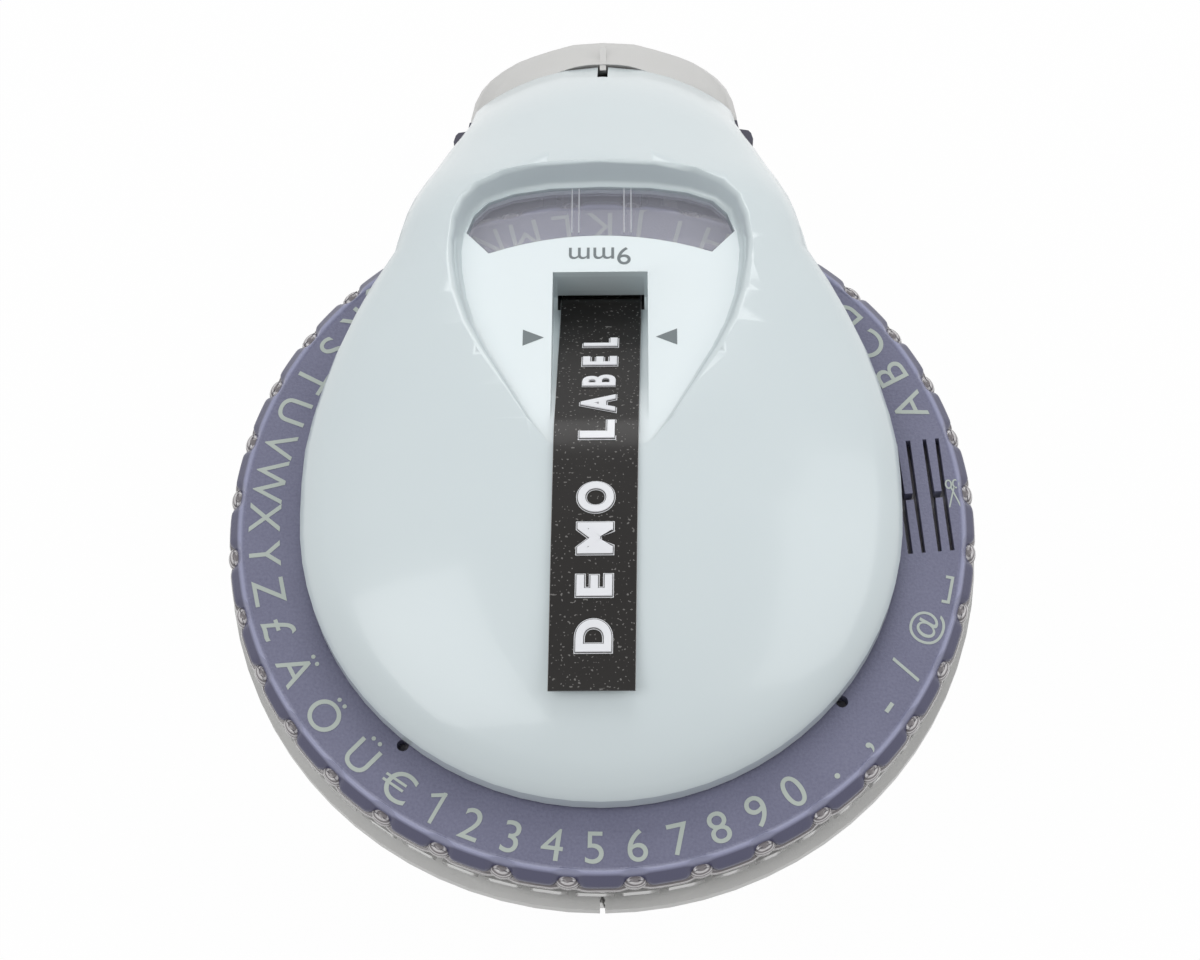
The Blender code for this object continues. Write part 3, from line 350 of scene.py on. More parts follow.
# The bowl is slimmer than the CAD solid in front, and its flange lower and narrower: a ramp of radius by drop.
bowlSettings = {
    "drops": [6.4 * mm, 7.9 * mm, 8.4 * mm, 20.0 * mm, 26.0 * mm, 32.0 * mm, 40.0 * mm, 48.0 * mm, 56.0 * mm],
    "radii": [43.1 * mm, 43.1 * mm, 41.7 * mm, 39.2 * mm, 37.9 * mm, 36.3 * mm, 33.9 * mm, 30.8 * mm, 25.6 * mm],
    "solidFlange": 44.0 * mm,
    "solidBend": 20.0 * mm,
    "solidRadius": 42.7 * mm,
    "solidFoot": 26.2 * mm,
    "squareness": 2.25,
    "flangeDrop": 1.4 * mm,
    "flangeWay": (41.9 * mm, 42.6 * mm),
    "flangeFade": (8.6 * mm, 12.0 * mm),
    "core": 18.0 * mm,
    "shell": 27.0 * mm,
    "frontFull": 8.0 * mm,
    "frontNone": 30.0 * mm,
}


def ramp(value, start, end):
    share = min(max((value - start) / (end - start), 0.0), 1.0)
    return share * share * (3 - 2 * share)


def between(value, places, levels):
    for low, high, first, last in zip(places, places[1:], levels, levels[1:]):
        if value <= high:
            return first + (last - first) * max(value - low, 0.0) / (high - low)
    return levels[-1]


def solidRadius(drop):
    s = bowlSettings
    if drop < s["drops"][2]:
        return s["solidFlange"]
    if drop < s["solidBend"]:
        return s["solidRadius"]
    down = min((drop - s["solidBend"]) / (dialTop - s["solidBend"]), 1.0)
    across = (1 - down ** s["squareness"]) ** (1 / s["squareness"])
    return s["solidFoot"] + (s["solidRadius"] - s["solidFoot"]) * across


def slimBowl(point):
    s = bowlSettings
    drop = dialTop - point.z
    away = math.hypot(point.x, point.y)
    if drop < s["drops"][0] or away < s["core"]:
        return point
    front = 1 - ramp(point.y, s["frontFull"], s["frontNone"])
    skin = ramp(away, s["core"], s["shell"])
    slim = between(drop, s["drops"], s["radii"]) / solidRadius(drop)
    share = 1 + (slim - 1) * front * skin
    lower = s["flangeDrop"] * front * ramp(away, *s["flangeWay"]) * (1 - ramp(drop, *s["flangeFade"]))
    return Vector((point.x * share, point.y * share, point.z - lower))


# The dial's own rim stops at its lip, and a scalloped band stands in for the rest. Its key holes lie further in,
# and the cutter's slits are wider than the solid's: each slit edge moves by its second value.
wheelSettings = {
    "lip": 41.0 * mm,
    "glassEdge": 42.0 * mm,
    "holeBand": (34.1 * mm, 35.9 * mm),
    "holeFirst": 49.5,
    "holeReach": 3.0,
    "holeShift": -0.62 * mm,
    "holeTurn": 1.15,
    "slitReach": 7.0 * mm,
    "slitNear": 0.06 * mm,
    "slitEdges": ((38.05 * mm, 0.12 * mm), (39.05 * mm, -0.08 * mm),
                  (34.65 * mm, 0.12 * mm), (35.75 * mm, -0.08 * mm)),
}


def lippedDial(point):
    away = math.hypot(point.x, point.y)
    facing = Vector((math.cos(cutterTurn * degree), math.sin(cutterTurn * degree)))
    out = point.x * facing.x + point.y * facing.y
    side = point.y * facing.x - point.x * facing.y
    if abs(side) < wheelSettings["slitReach"] and out > 0:
        for edge, shift in wheelSettings["slitEdges"]:
            if abs(out - edge) < wheelSettings["slitNear"]:
                out += shift
                return Vector((out * facing.x - side * facing.y, out * facing.y + side * facing.x, point.z))
    if away > wheelSettings["lip"]:
        share = wheelSettings["lip"] / away
        return Vector((point.x * share, point.y * share, point.z))
    low, high = wheelSettings["holeBand"]
    turn = math.degrees(math.atan2(point.y, point.x))
    off = (turn - wheelSettings["holeFirst"] + 45) % 90 - 45
    if low < away < high and abs(off) < wheelSettings["holeReach"]:
        turn = (turn + wheelSettings["holeTurn"]) * degree
        away += wheelSettings["holeShift"]
        return Vector((away * math.cos(turn), away * math.sin(turn), point.z))
    return point


# The handle's end is rounder than the solid between the middle and the corners, and the grips sit further in.
endSettings = {
    "pullFrom": (2.0 * mm, 9.0 * mm),
    "pullTo": (13.0 * mm, 18.0 * mm),
    "doorStart": 60.0 * mm,
    "doorEnd": 70.0 * mm,
    "pull": 0.85 * mm,
    "gripIn": 0.50 * mm,
    "gripBack": 0.15 * mm,
}


def rounderEnd(point):
    s = endSettings
    side = ramp(abs(point.x), *s["pullFrom"]) * (1 - ramp(abs(point.x), *s["pullTo"]))
    return Vector((point.x, point.y - s["pull"] * side * ramp(point.y, s["doorStart"], s["doorEnd"]), point.z))


def smallGrip(point):
    inward = -math.copysign(endSettings["gripIn"], point.x)
    return Vector((point.x + inward, point.y + endSettings["gripBack"], point.z))


def slimHousing(point):
    return rounderEnd(slimBowl(point))


def trimmedGlass(point):
    away = math.hypot(point.x, point.y)
    share = min(1.0, wheelSettings["glassEdge"] / max(away, 1e-6))
    return Vector((point.x * share, point.y * share, point.z))


shells = (
    ("coverShell", "top_cover", "cover", "housing", "cover_pale"),
    ("bowlLeft", "base_left", "housing", "housing", "housing_grey", slimHousing),
    ("bowlRight", "base_right", "housing", "housing", "housing_grey", slimHousing),
    ("rearDoor", "tape_door", "housing", "door", "housing_grey", rounderEnd),
    ("squeezePaddle", "squeeze_lever", "lever", "lever", "dial_purple"),
    ("dialRing", "letter_dial", "purple", "wheel", "dial_purple", lippedDial),
    ("clearRing", "upper_die_ring", "smoke", "wheel", "smoky_clear", trimmedGlass),
    ("fingerRing", "lower_die_ring", "milky", "wheel", "pale_clear"),
    ("carrierFrame", "inner_frame", "dark", "housing", "dark_plastic"),
    ("gripLeft", "grip_pad_left", "grip", "housing", "grip_dark", smallGrip),
    ("gripRight", "grip_pad_right", "grip", "housing", "grip_dark", smallGrip),
)
for shell in shells:
    smoothCopy(*shell)
note("shells smoothed")

# A band whose outer radius follows the scallops, each profile point a (share of the way out, drop) pair.
bandSettings = {
    "scallops": 36,
    "stepsEach": 24,
    "notchHalf": 1.38 * mm,
    "dialEdge": 42.42 * mm,
    "dialNotch": 41.55 * mm,
    "dialInner": 40.6 * mm,
    "dialProfile": ((0.0, 1.69), (0.0, 0.0), (0.14, -0.04), (0.22, -0.10), (0.30, -0.12), (0.38, -0.06), (0.46, 0.10),
                    (0.84, 0.86), (0.96, 1.08), (1.0, 1.32), (1.0, 1.69)),
    "glassEdge": 42.60 * mm,
    "glassNotch": 42.35 * mm,
    "glassInner": 41.2 * mm,
    "glassProfile": ((0.0, 2.85), (0.0, 1.95), (0.70, 1.93), (0.92, 2.02), (1.0, 2.25), (1.0, 2.60), (0.9, 2.82)),
}


def scallopBand(name, edge, notch, inner, profile, look, slotName):
    count = bandSettings["scallops"] * bandSettings["stepsEach"]
    points = []
    for k in range(count):
        turn = math.tau * k / count
        off = ((k / bandSettings["stepsEach"]) % 1.0 - 0.5) * math.tau / bandSettings["scallops"] * edge
        outer = edge - (edge - notch) * math.exp(-(off / bandSettings["notchHalf"]) ** 4)
        for out, drop in profile:
            away = inner + (outer - inner) * out
            points.append((away * math.cos(turn), away * math.sin(turn), dialTop - drop * mm))
    size = len(profile)
    faces = []
    for k in range(count):
        after = (k + 1) % count
        for side in range(size):
            other = (side + 1) % size
            faces.append((k * size + side, after * size + side, after * size + other, k * size + other))
    piece = place(name, points, faces, look)
    carry(piece, "wheel", slotName)


scallopBand("dialRim", bandSettings["dialEdge"], bandSettings["dialNotch"], bandSettings["dialInner"],
            bandSettings["dialProfile"], "rim", "dial_purple")
scallopBand("glassRim", bandSettings["glassEdge"], bandSettings["glassNotch"], bandSettings["glassInner"],
            bandSettings["glassProfile"], "ridge", "smoky_clear")
note("rim scalloped")


# Geometry Nodes helper: a tree with named sizes, run once and kept as a plain mesh.
class Pattern:
    def __init__(self, name, sizes):
        self.name = name
        self.sizes = sizes
        self.tree = bpy.data.node_groups.new(name, "GeometryNodeTree")
        self.tree.interface.new_socket("Geometry", in_out="OUTPUT", socket_type="NodeSocketGeometry")
        for size, value in sizes.items():
            kind = "NodeSocketInt" if isinstance(value, int) else "NodeSocketFloat"
            self.tree.interface.new_socket(size, in_out="INPUT", socket_type=kind)
        self.given = self.tree.nodes.new("NodeGroupInput")
        self.result = self.tree.nodes.new("NodeGroupOutput")

    def node(self, kind, settings, sockets, output=0):
        made = self.tree.nodes.new(kind)
        for name, value in settings.items():
            setattr(made, name, value)
        for name, value in sockets.items():
            if isinstance(value, bpy.types.NodeSocket):
                self.tree.links.new(value, made.inputs[name])
            elif isinstance(value, str):
                self.tree.links.new(self.given.outputs[value], made.inputs[name])
            else:
                made.inputs[name].default_value = value
        return made.outputs[output]

    def run(self, geometry, look):
        real = self.node("GeometryNodeRealizeInstances", {}, {"Geometry": geometry})
        dressed = self.node("GeometryNodeSetMaterial", {}, {"Geometry": real, "Material": finishes[look]})
        self.tree.links.new(dressed, self.result.inputs[0])
        holder = bpy.data.objects.new(self.name, bpy.data.meshes.new(self.name))
        bpy.context.scene.collection.objects.link(holder)
        step = holder.modifiers.new("pattern", "NODES")
        step.node_group = self.tree
        for item in self.tree.interface.items_tree:
            if item.in_out == "INPUT":
                step[item.identifier] = self.sizes[item.name]
        bpy.context.view_layer.update()
        mesh = bpy.data.meshes.new_from_object(holder.evaluated_get(bpy.context.evaluated_depsgraph_get()))
        bpy.data.objects.remove(holder)
        return settle(self.name, mesh, look, angle=50)


lensRowSettings = {"Count": 36, "Radius": 41.75 * mm, "Long": 1.42 * mm, "Deep": 0.90 * mm, "Tall": 1.00 * mm,
                   "Height": dialTop - 1.85 * mm, "Start": 5.0 * degree}


def rimLenses():
    row = Pattern("rimLenses", lensRowSettings)
    ring = row.node("GeometryNodeMeshCircle", {}, {"Vertices": "Count", "Radius": "Radius"})
    ball = row.node("GeometryNodeMeshUVSphere", {}, {"Segments": 20, "Rings": 12, "Radius": 1.0})
    spot = row.node("GeometryNodeInputPosition", {}, {})
    turn = row.node("FunctionNodeAlignRotationToVector", {"axis": "X", "pivot_axis": "Z"}, {"Vector": spot})
    size = row.node("ShaderNodeCombineXYZ", {}, {"X": "Deep", "Y": "Long", "Z": "Tall"})
    balls = row.node("GeometryNodeInstanceOnPoints", {}, {"Points": ring, "Instance": ball, "Rotation": turn,
                                                          "Scale": size})
    shift = row.node("ShaderNodeCombineXYZ", {}, {"Z": "Height"})
    spin = row.node("ShaderNodeCombineXYZ", {}, {"Z": "Start"})
    lifted = row.node("GeometryNodeTransform", {}, {"Geometry": balls, "Translation": shift, "Rotation": spin})
    return row.run(lifted, "ridge")


carry(rimLenses(), "wheel", "smoky_clear")

rollCentre = (Vector(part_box("tape_roll")[0]) + Vector(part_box("tape_roll")[1])) / 2
windingSettings = {"Turns": 20.0, "Inner": 6.4 * mm, "Outer": 15.05 * mm, "Thick": 0.30 * mm, "Width": 8.96 * mm,
                   "Back": rollCentre.y, "Height": rollCentre.z, "Quarter": 90 * degree}


def woundRoll():
    wind = Pattern("woundTape", windingSettings)
    spiral = wind.node("GeometryNodeCurveSpiral", {}, {"Resolution": 40, "Rotations": "Turns", "Start Radius": "Inner",
                                                       "End Radius": "Outer", "Height": 0.0})
    strip = wind.node("GeometryNodeCurvePrimitiveQuadrilateral", {}, {"Width": "Thick", "Height": "Width"})
    tape = wind.node("GeometryNodeCurveToMesh", {}, {"Curve": spiral, "Profile Curve": strip, "Fill Caps": True})
    turn = wind.node("ShaderNodeCombineXYZ", {}, {"Y": "Quarter"})
    shift = wind.node("ShaderNodeCombineXYZ", {}, {"Y": "Back", "Z": "Height"})
    lain = wind.node("GeometryNodeTransform", {}, {"Geometry": tape, "Translation": shift, "Rotation": turn})
    return wind.run(lain, "tape")


carry(woundRoll(), "roll", "tape_black", "tape_roll")
note("repeated pieces patterned")

nodeLooks = {
    "window_lens": "clear", "frame_screw_left": "steel", "frame_screw_right": "steel",
    "cover_screw_left": "steel", "cover_screw_right": "steel", "cutter_blade": "steel", "sync_pinion": "white",
    "pinion_pin": "steel", "lever_pin": "steel", "return_spring": "steel", "hammer": "white",
    "feed_pawl": "steel", "feed_roller": "rubber", "feed_axle": "steel", "ratchet_wheel": "white",
    "roll_core": "white", "roll_spindle": "steel", "door_pin": "steel",
}
for nodeName, look in nodeLooks.items():
    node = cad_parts[nodeName]
    node.data.materials.clear()
    node.data.materials.append(finishes[look])
note("inner pieces finished")


# Lettering: one flat text becomes one mesh, centred on its own height. A capital is this share of the text's
# size, and the strokes of a drawn sign lie at slightly different heights where they cross.
glyphSettings = {"capShare": 0.73, "strokeHeights": 7, "strokeStep": 0.004 * mm}


def glyphMesh(words, height, thick=0.0, swell=0.0, bevel=0.0):
    text = bpy.data.curves.new("glyph", "FONT")
    text.body = words
    text.size = 1.0
    text.align_x = "CENTER"
    holder = bpy.data.objects.new("glyph", text)
    bpy.context.scene.collection.objects.link(holder)
    share = glyphSettings["capShare"]
    text.offset = swell / height * share
    text.extrude = thick / height * share / 2
    text.bevel_depth = bevel / height * share
    text.bevel_resolution = 1
    bpy.context.view_layer.update()
    mesh = bpy.data.meshes.new_from_object(holder)
    bpy.data.objects.remove(holder)
    mesh.transform(Matrix.Scale(height / share, 4))
    mesh.transform(Matrix.Translation((0, -height / 2, 0)))
    return mesh


def joinMeshes(name, meshes, look, angle=35):
    work = bmesh.new()
    for mesh in meshes:
        work.from_mesh(mesh)
        bpy.data.meshes.remove(mesh)
    joined = bpy.data.meshes.new(name)
    work.to_mesh(joined)
    work.free()
    return settle(name, joined, look, angle=angle)


def onDial(mesh, turn, radius):
    mesh.transform(Matrix.Translation((0, -radius, 0)))
    mesh.transform(Matrix.Rotation((turn + 90) * degree, 4, "Z"))
    mesh.transform(Matrix.Translation((0, 0, dialTop + dialSettings["thick"] / 2)))
    return mesh


def strokes(name, lines, width, thick):
    work = bmesh.new()
    for index, (start, end) in enumerate(lines):
        top = thick / 2 + glyphSettings["strokeStep"] * (index % glyphSettings["strokeHeights"])
        start = Vector(start)
        end = Vector(end)
        along = (end - start).normalized() * (width / 2)
        across = Vector((-along.y, along.x))
        corners = [start - along + across, start - along - across, end + along - across, end + along + across]
        low = [work.verts.new((p.x, p.y, -thick / 2)) for p in corners]
        high = [work.verts.new((p.x, p.y, top)) for p in corners]
        work.faces.new(low)
        work.faces.new(high)
        for k in range(4):
            work.faces.new((low[k], low[(k + 1) % 4], high[(k + 1) % 4], high[k]))
    mesh = bpy.data.meshes.new(name)
    work.to_mesh(mesh)
    work.free()
    return mesh


height = dialSettings["height"]
radius = dialSettings["radius"]
thick = dialSettings["thick"]
glyphs = []
for letter, turn in zip(dialSettings["letters"], turns):
    if letter == "€":
        letter = "C"
        bars = [((-0.50 * height, at * height), (0.14 * height, at * height)) for at in (-0.09, 0.09)]
        euroBars = strokes("euroBars", bars, dialSettings["barWidth"], 1.4 * thick)
        glyphs.append(onDial(euroBars, turn, radius))
    if letter == "1":
        top = 0.5 * height - 0.2 * mm
        lines = [((0.10 * height, -top), (0.10 * height, top)),
                 ((0.10 * height, top), (-0.20 * height, 0.27 * height))]
        glyphs.append(onDial(strokes("digitOne", lines, dialSettings["stemWidth"], thick), turn, radius))
        continue
    mesh = glyphMesh(letter, height, thick)
    if letter == "@":
        mesh.transform(Matrix.Scale(dialSettings["atShare"], 4))
    glyphs.append(onDial(mesh, turn, radius))
spaceTurn = turns[len(dialSettings["letters"])]
for index, letter in enumerate(dialSettings["afterCutter"]):
    turn = turns[len(dialSettings["letters"]) + 2 + index]
    glyphs.append(onDial(glyphMesh(letter, height, thick), turn, radius))

half = dialSettings["spaceHalf"]
tick = dialSettings["spaceTick"]
spaceLines = [((-half, 0.0), (half, 0.0)), ((-half, 0.0), (-half, tick)), ((half, 0.0), (half, tick))]
spaceSign = strokes("spaceSign", spaceLines, dialSettings["spaceWidth"], thick)
glyphs.append(onDial(spaceSign, spaceTurn, dialSettings["spaceRadius"]))


# Scissors lie along the rim, with the eyes on the side of the letter A.
def scissorsMesh():
    length = dialSettings["scissorsLength"]
    wide = dialSettings["scissorsWidth"]
    lines = [((-0.5 * length, -0.42 * wide), (0.20 * length, 0.10 * wide)),
             ((-0.5 * length, 0.42 * wide), (0.20 * length, -0.10 * wide))]
    for side in (-1, 1):
        eye = Vector((0.34 * length, side * 0.27 * wide))
        ring = [eye + Vector((0.15 * length * math.cos(k * math.tau / 14), 0.21 * wide * math.sin(k * math.tau / 14)))
                for k in range(15)]
        lines += list(zip(ring, ring[1:]))
    return strokes("scissorsSign", lines, dialSettings["scissorsWeight"], dialSettings["thick"])


glyphs.append(onDial(scissorsMesh(), cutterTurn, dialSettings["scissorsRadius"]))
dialLetters = joinMeshes("dialLetters", glyphs, "glyph")
carry(dialLetters, "wheel", "dial_purple")
note("dial lettered")

markSettings = {
    "floorStart": 3.0 * mm,
    "floorRise": 11.2 * mm,
    "floorSlope": -0.2,
    "thick": 0.04 * mm,
    "sizeHeight": 2.7 * mm,
    "sizePlace": (-0.1 * mm, 31.2 * mm),
    "pointerTip": 6.4 * mm,
    "pointerBase": 8.8 * mm,
    "pointerHalf": 1.15 * mm,
    "pointerPlace": 19.5 * mm,
}


def floorHeight(y):
    return dialTop + markSettings["floorRise"] + markSettings["floorSlope"] * (y - markSettings["floorStart"])


def onFloor(mesh, x, y, turn=0.0):
    tilt = math.atan(markSettings["floorSlope"])
    mesh.transform(Matrix.Rotation(turn, 4, "Z"))
    mesh.transform(Matrix.Rotation(tilt, 4, "X"))
    mesh.transform(Matrix.Translation((x, y, floorHeight(y) + markSettings["thick"] / 2)))
    return mesh


marks = [onFloor(glyphMesh("9mm", markSettings["sizeHeight"], markSettings["thick"]),
                 *markSettings["sizePlace"], math.pi)]
for side in (-1, 1):
    tip = (side * markSettings["pointerTip"], 0.0)
    foot = side * markSettings["pointerBase"]
    half = markSettings["pointerHalf"]
    outline = [tip, (foot, half), (foot, -half)]
    work = bmesh.new()
    low = [work.verts.new((x, y, -markSettings["thick"] / 2)) for x, y in outline]
    high = [work.verts.new((x, y, markSettings["thick"] / 2)) for x, y in outline]
    work.faces.new(low)
    work.faces.new(high)
    for k in range(3):
        work.faces.new((low[k], low[(k + 1) % 3], high[(k + 1) % 3], high[k]))
    pointer = bpy.data.meshes.new("pointer")
    work.to_mesh(pointer)
    work.free()
    marks.append(onFloor(pointer, 0.0, markSettings["pointerPlace"]))
floorMarks = joinMeshes("floorMarks", marks, "mark")
carry(floorMarks, "housing", "cover_pale")
note("floor marked")

lensSettings = {
    "lines": (-3.37 * mm, -2.55 * mm, 2.77 * mm, 3.60 * mm),
    "width": 0.14 * mm,
    "height": 0.16 * mm,
    "front": 35.0 * mm,
    "rear": 42.1 * mm,
    "sink": 0.32 * mm,
}
ridges = []
for x in lensSettings["lines"]:
    half = lensSettings["width"] / 2
    points = []
    for y in (lensSettings["front"], lensSettings["rear"]):
        base = floorHeight(y) - lensSettings["sink"]
        points += [(x - half, y, base), (x + half, y, base), (x, y, base + lensSettings["height"])]
    faces = [(0, 1, 2), (3, 5, 4), (0, 3, 4, 1), (1, 4, 5, 2), (2, 5, 3, 0)]
    mesh = bpy.data.meshes.new("ridge")
    mesh.from_pydata(points, [], faces)
    ridges.append(mesh)
lensRidges = joinMeshes("lensRidges", ridges, "stress")
carry(lensRidges, "housing", "clear_window")
note("window lined")

# The tape: its route follows the CAD strip's, rounded by a smooth curve through its points. The free end is a
# little shorter and leans to one side, and the tape is slightly wider than the strip.
tapeSettings = {
    "route": ((67.0, -15.05), (54.0, -4.20), (52.8, -3.58), (51.2, -3.32), (44.0, -3.30), (32.8, -3.30),
              (31.2, -3.22), (30.0, -2.60), (28.7, -0.20), (27.6, 0.70), (26.2, 1.20), (17.0, 6.10),
              (11.0, 9.20), (7.5, 11.10), (4.5, 11.80), (0.0, 11.90), (-5.0, 11.80), (-10.0, 11.55),
              (-15.0, 11.10), (-20.0, 10.60), (-22.6, 10.42), (-24.1, 10.40)),
    "halfWidth": 4.68 * mm,
    "lean": -0.85 * mm,
    "leanLength": 52.0 * mm,
    "thick": 0.25 * mm,
    "edge": 0.05 * mm,
    "endGap": 0.001 * mm,
    "stepsPerSpan": 6,
    "words": "DEMOLABEL",
    "places": (6.0 * mm, 11.6 * mm, 17.1 * mm, 21.9 * mm, 30.1 * mm, 34.6 * mm, 38.8 * mm, 42.6 * mm, 46.3 * mm),
    "fullPitch": 5.6 * mm,
    "letterHeight": 3.75 * mm,
    "layers": (("letterRims", "stress", 0.06 * mm, 0.36 * mm, 0.02 * mm, 0.0),
               ("letterWalls", "tape", 0.10 * mm, 0.27 * mm, 0.06 * mm, 0.0),
               ("letterFaces", "stress", 0.12 * mm, 0.13 * mm, 0.14 * mm, 0.07 * mm)),
    "tightLetters": "B",
    "tightShare": 0.5,
}


def roundedRoute():
    route = [Vector((y, z)) * mm for y, z in tapeSettings["route"]]
    route = [route[0] * 2 - route[1]] + route + [route[-1] * 2 - route[-2]]
    smooth = []
    count = tapeSettings["stepsPerSpan"]
    for a, b, c, d in zip(route, route[1:], route[2:], route[3:]):
        knots = [0.0]
        for start, end in ((a, b), (b, c), (c, d)):
            knots.append(knots[-1] + math.sqrt((end - start).length))
        for k in range(count):
            t = knots[1] + (knots[2] - knots[1]) * k / count
            first = a.lerp(b, (t - knots[0]) / (knots[1] - knots[0]))
            second = b.lerp(c, (t - knots[1]) / (knots[2] - knots[1]))
            third = c.lerp(d, (t - knots[2]) / (knots[3] - knots[2]))
            left = first.lerp(second, (t - knots[0]) / (knots[2] - knots[0]))
            right = second.lerp(third, (t - knots[1]) / (knots[3] - knots[1]))
            smooth.append(left.lerp(right, (t - knots[1]) / (knots[2] - knots[1])))
    smooth.append(route[-2])
    return list(reversed(smooth))


route = roundedRoute()
lengths = [0.0] + list(accumulate((b - a).length for a, b in zip(route, route[1:])))


def onTape(distance, across, lift):
    k = 0
    while k < len(route) - 2 and lengths[k + 1] < distance:
        k += 1
    share = (distance - lengths[k]) / (lengths[k + 1] - lengths[k])
    before = route[max(k - 1, 0)]
    after = route[min(k + 2, len(route) - 1)]
    along = (after - before).normalized()
    point = route[k].lerp(route[k + 1], share)
    normal = Vector((-along.y, along.x))
    if normal.y < 0:
        normal = -normal
    spot = point + normal * lift
    lean = tapeSettings["lean"] * max(0.0, 1 - distance / tapeSettings["leanLength"])
    return Vector((across + lean, spot.x, dialTop + spot.y))


def sweptAlong(profile):
    size = len(profile)
    gap = tapeSettings["endGap"]
    points = []
    for distance in lengths:
        along = min(max(distance, gap), lengths[-1] - gap)
        points += [onTape(along, across, lift) for across, lift in profile]
    faces = [tuple(range(size)), tuple(range(len(points) - size, len(points)))]
    for k in range(len(lengths) - 1):
        for side in range(size):
            other = (side + 1) % size
            faces.append((k * size + side, k * size + other, (k + 1) * size + other, (k + 1) * size + side))
    return points, faces


half = tapeSettings["halfWidth"]
thick = tapeSettings["thick"]
edge = tapeSettings["edge"]
ribbonProfile = ((-half, -thick / 2), (-half, thick / 2 - edge), (-half + edge, thick / 2), (half - edge, thick / 2),
                 (half, thick / 2 - edge), (half, -thick / 2))
carry(place("tapeRibbon", *sweptAlong(ribbonProfile), "tape"), "housing", "tape_black", "tape_strip")
backingProfile = ((-half - edge, -thick / 2 - edge), (-half - edge, -thick / 2), (half + edge, -thick / 2),
                  (half + edge, -thick / 2 - edge))
carry(place("tapeBacking", *sweptAlong(backingProfile), "backing"), "housing", "tape_black")


def bentOnTape(mesh, distance, lift):
    for vertex in mesh.vertices:
        vertex.co = onTape(distance + vertex.co.x, -vertex.co.y, lift + vertex.co.z)
    return mesh


# Each letter is three layers, one on the other: pale rim, dark wall and pale face. It is squeezed to its own pitch.
places = tapeSettings["places"]
pitches = [places[1] - places[0]] + [after - before for before, after in zip(places, places[1:])]
for name, look, thickness, swell, rise, bevel in tapeSettings["layers"]:
    layer = []
    for letter, distance, pitch in zip(tapeSettings["words"], places, pitches):
        share = tapeSettings["tightShare"] if letter in tapeSettings["tightLetters"] else 1.0
        mesh = glyphMesh(letter, tapeSettings["letterHeight"], thickness, swell * share, bevel)
        mesh.transform(Matrix.Scale(min(1.0, pitch / tapeSettings["fullPitch"]), 4, (1, 0, 0)))
        layer.append(bentOnTape(mesh, distance, thick / 2 + rise))
    carry(joinMeshes(name, layer, look), "housing", "tape_black")
note("tape embossed")

# Stage: pale floor, soft light and the photograph's camera.
stageSettings = {
    "focal": 83.6,
    "azimuth": 2.309,
    "elevation": 65.89,
    "roll": -2.52,
    "distance": 318.93 * mm,
    "target": (-0.13 * mm, 5.19 * mm),
    "floorHalf": 3.0,
    "floorLift": 0.975,
    "lamps": (("keyLamp", (-0.45, -0.15, 0.75), 0.55, 1.9),
              ("fillLamp", (0.60, 0.05, 0.60), 0.60, 1.5),
              ("rearLamp", (0.05, 0.70, 0.65), 0.50, 2.1)),
    "skyLight": 0.44,
}


# Is Camera, Is Glossy or Is Transmission Ray: the background that is seen, and not its light.
def seenDirectly(look):
    path = look.nodes.new("ShaderNodeLightPath")
    rays = [Socket(look, path.outputs[name]) for name in ("Is Camera Ray", "Is Glossy Ray", "Is Transmission Ray")]
    either = look.node("ShaderNodeMath", {"operation": "MAXIMUM"}, rays[0], rays[1])
    return look.node("ShaderNodeMath", {"operation": "MAXIMUM"}, either, rays[2])


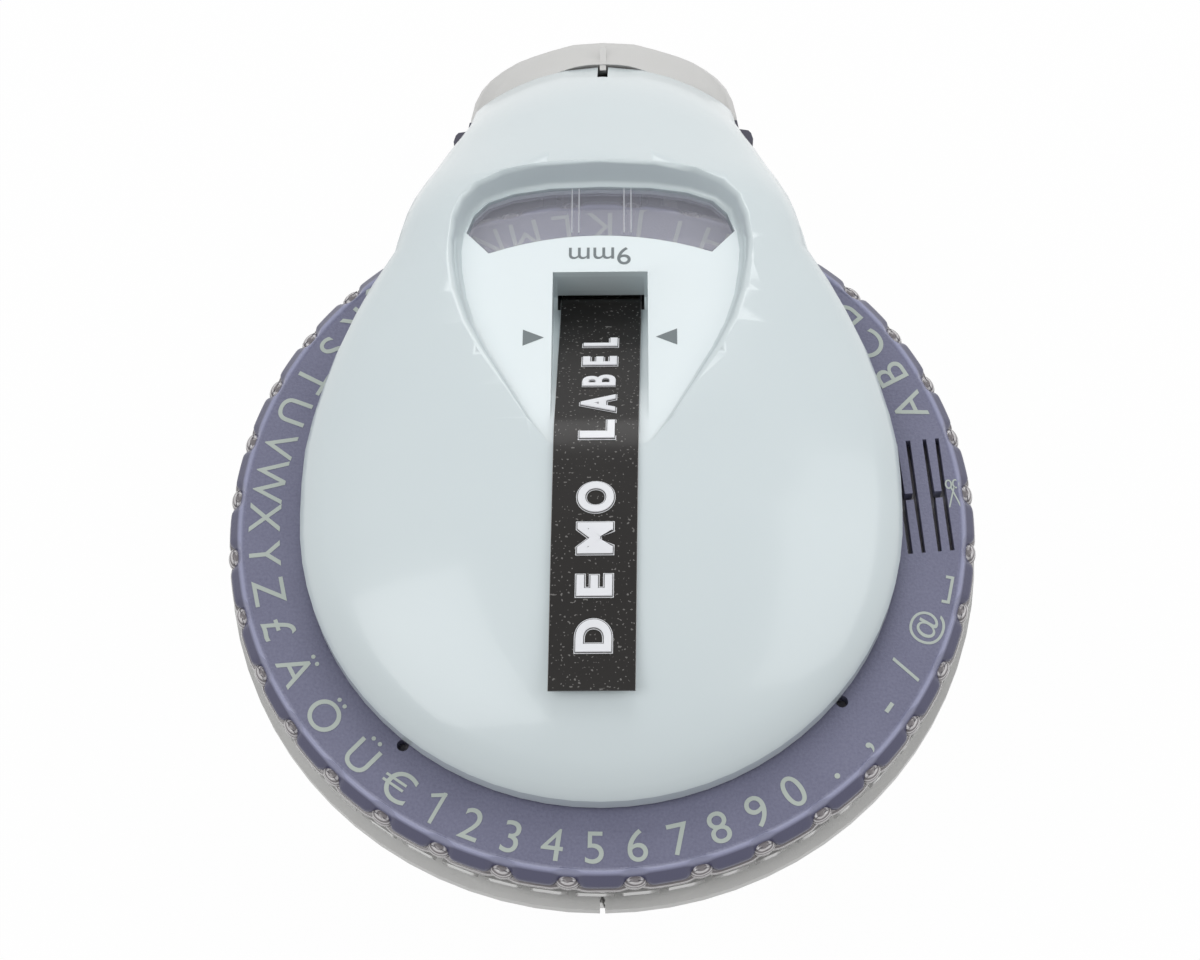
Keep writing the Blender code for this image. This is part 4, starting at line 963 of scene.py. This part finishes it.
def paleFloor():
    half = stageSettings["floorHalf"]
    floorLevel = cadBounds[0][2] - 0.02 * mm
    mesh = bpy.data.meshes.new("floor")
    mesh.from_pydata([(-half, -half, floorLevel), (half, -half, floorLevel), (half, half, floorLevel),
                      (-half, half, floorLevel)], [], [(0, 1, 2, 3)])
    floor = bpy.data.objects.new("floor", mesh)
    bpy.context.scene.collection.objects.link(floor)
    floorLook = Finish("floorPale", Roughness=0.9, Specular_IOR_Level=0.1, Emission_Color=(1.0, 1.0, 1.0))
    floorLook.surface((0.90, 0.90, 0.90))
    white = floorLook.node("ShaderNodeEmission", {}, (1.0, 1.0, 1.0), 1.0)
    seen = seenDirectly(floorLook) * stageSettings["floorLift"]
    mix = floorLook.node("ShaderNodeMixShader", {}, seen, Socket(floorLook, floorLook.shader.outputs[0]), white)
    floorLook.links.new(mix.link, floorLook.nodes["Material Output"].inputs[0])
    mesh.materials.append(floorLook.material)


def softLamp(name, where, size, power):
    lamp = bpy.data.lights.new(name, "AREA")
    lamp.size = size
    lamp.energy = power
    holder = bpy.data.objects.new(name, lamp)
    holder.location = where
    holder.rotation_euler = (Vector((0, 0, dialTop)) - Vector(where)).to_track_quat("-Z", "Y").to_euler()
    bpy.context.scene.collection.objects.link(holder)


paleFloor()
for lamp in stageSettings["lamps"]:
    softLamp(*lamp)


class Sky(Finish):
    def __init__(self, world):
        world.use_nodes = True
        self.nodes = world.node_tree.nodes
        self.links = world.node_tree.links


world = bpy.data.worlds.new("studio")
bpy.context.scene.world = world
sky = Sky(world)
backdrop = sky.nodes["Background"]
backdrop.inputs["Color"].default_value = (1.0, 1.0, 1.0, 1.0)
sky.feed(backdrop.inputs["Strength"], stageSettings["skyLight"] + (1 - stageSettings["skyLight"]) * seenDirectly(sky))
note("stage lit")

azimuth = stageSettings["azimuth"] * degree
elevation = stageSettings["elevation"] * degree
roll = stageSettings["roll"] * degree
back = Vector((math.sin(azimuth) * math.cos(elevation), -math.cos(azimuth) * math.cos(elevation),
               math.sin(elevation)))
right = Vector((math.cos(azimuth), math.sin(azimuth), 0.0))
upward = back.cross(right)
turnedRight = right * math.cos(roll) + upward * math.sin(roll)
turnedUp = back.cross(turnedRight)
view = bpy.data.cameras.new("view")
view.lens = stageSettings["focal"]
view.sensor_width = 36.0
view.clip_start = 0.01
camera = bpy.data.objects.new("view", view)
target = Vector((*stageSettings["target"], dialTop))
camera.matrix_world = (Matrix.Translation(target + back * stageSettings["distance"])
                       @ Matrix((turnedRight, turnedUp, back)).transposed().to_4x4())
bpy.context.scene.collection.objects.link(camera)
bpy.context.scene.camera = camera
bpy.context.scene.view_settings.view_transform = "Standard"
note("camera set")
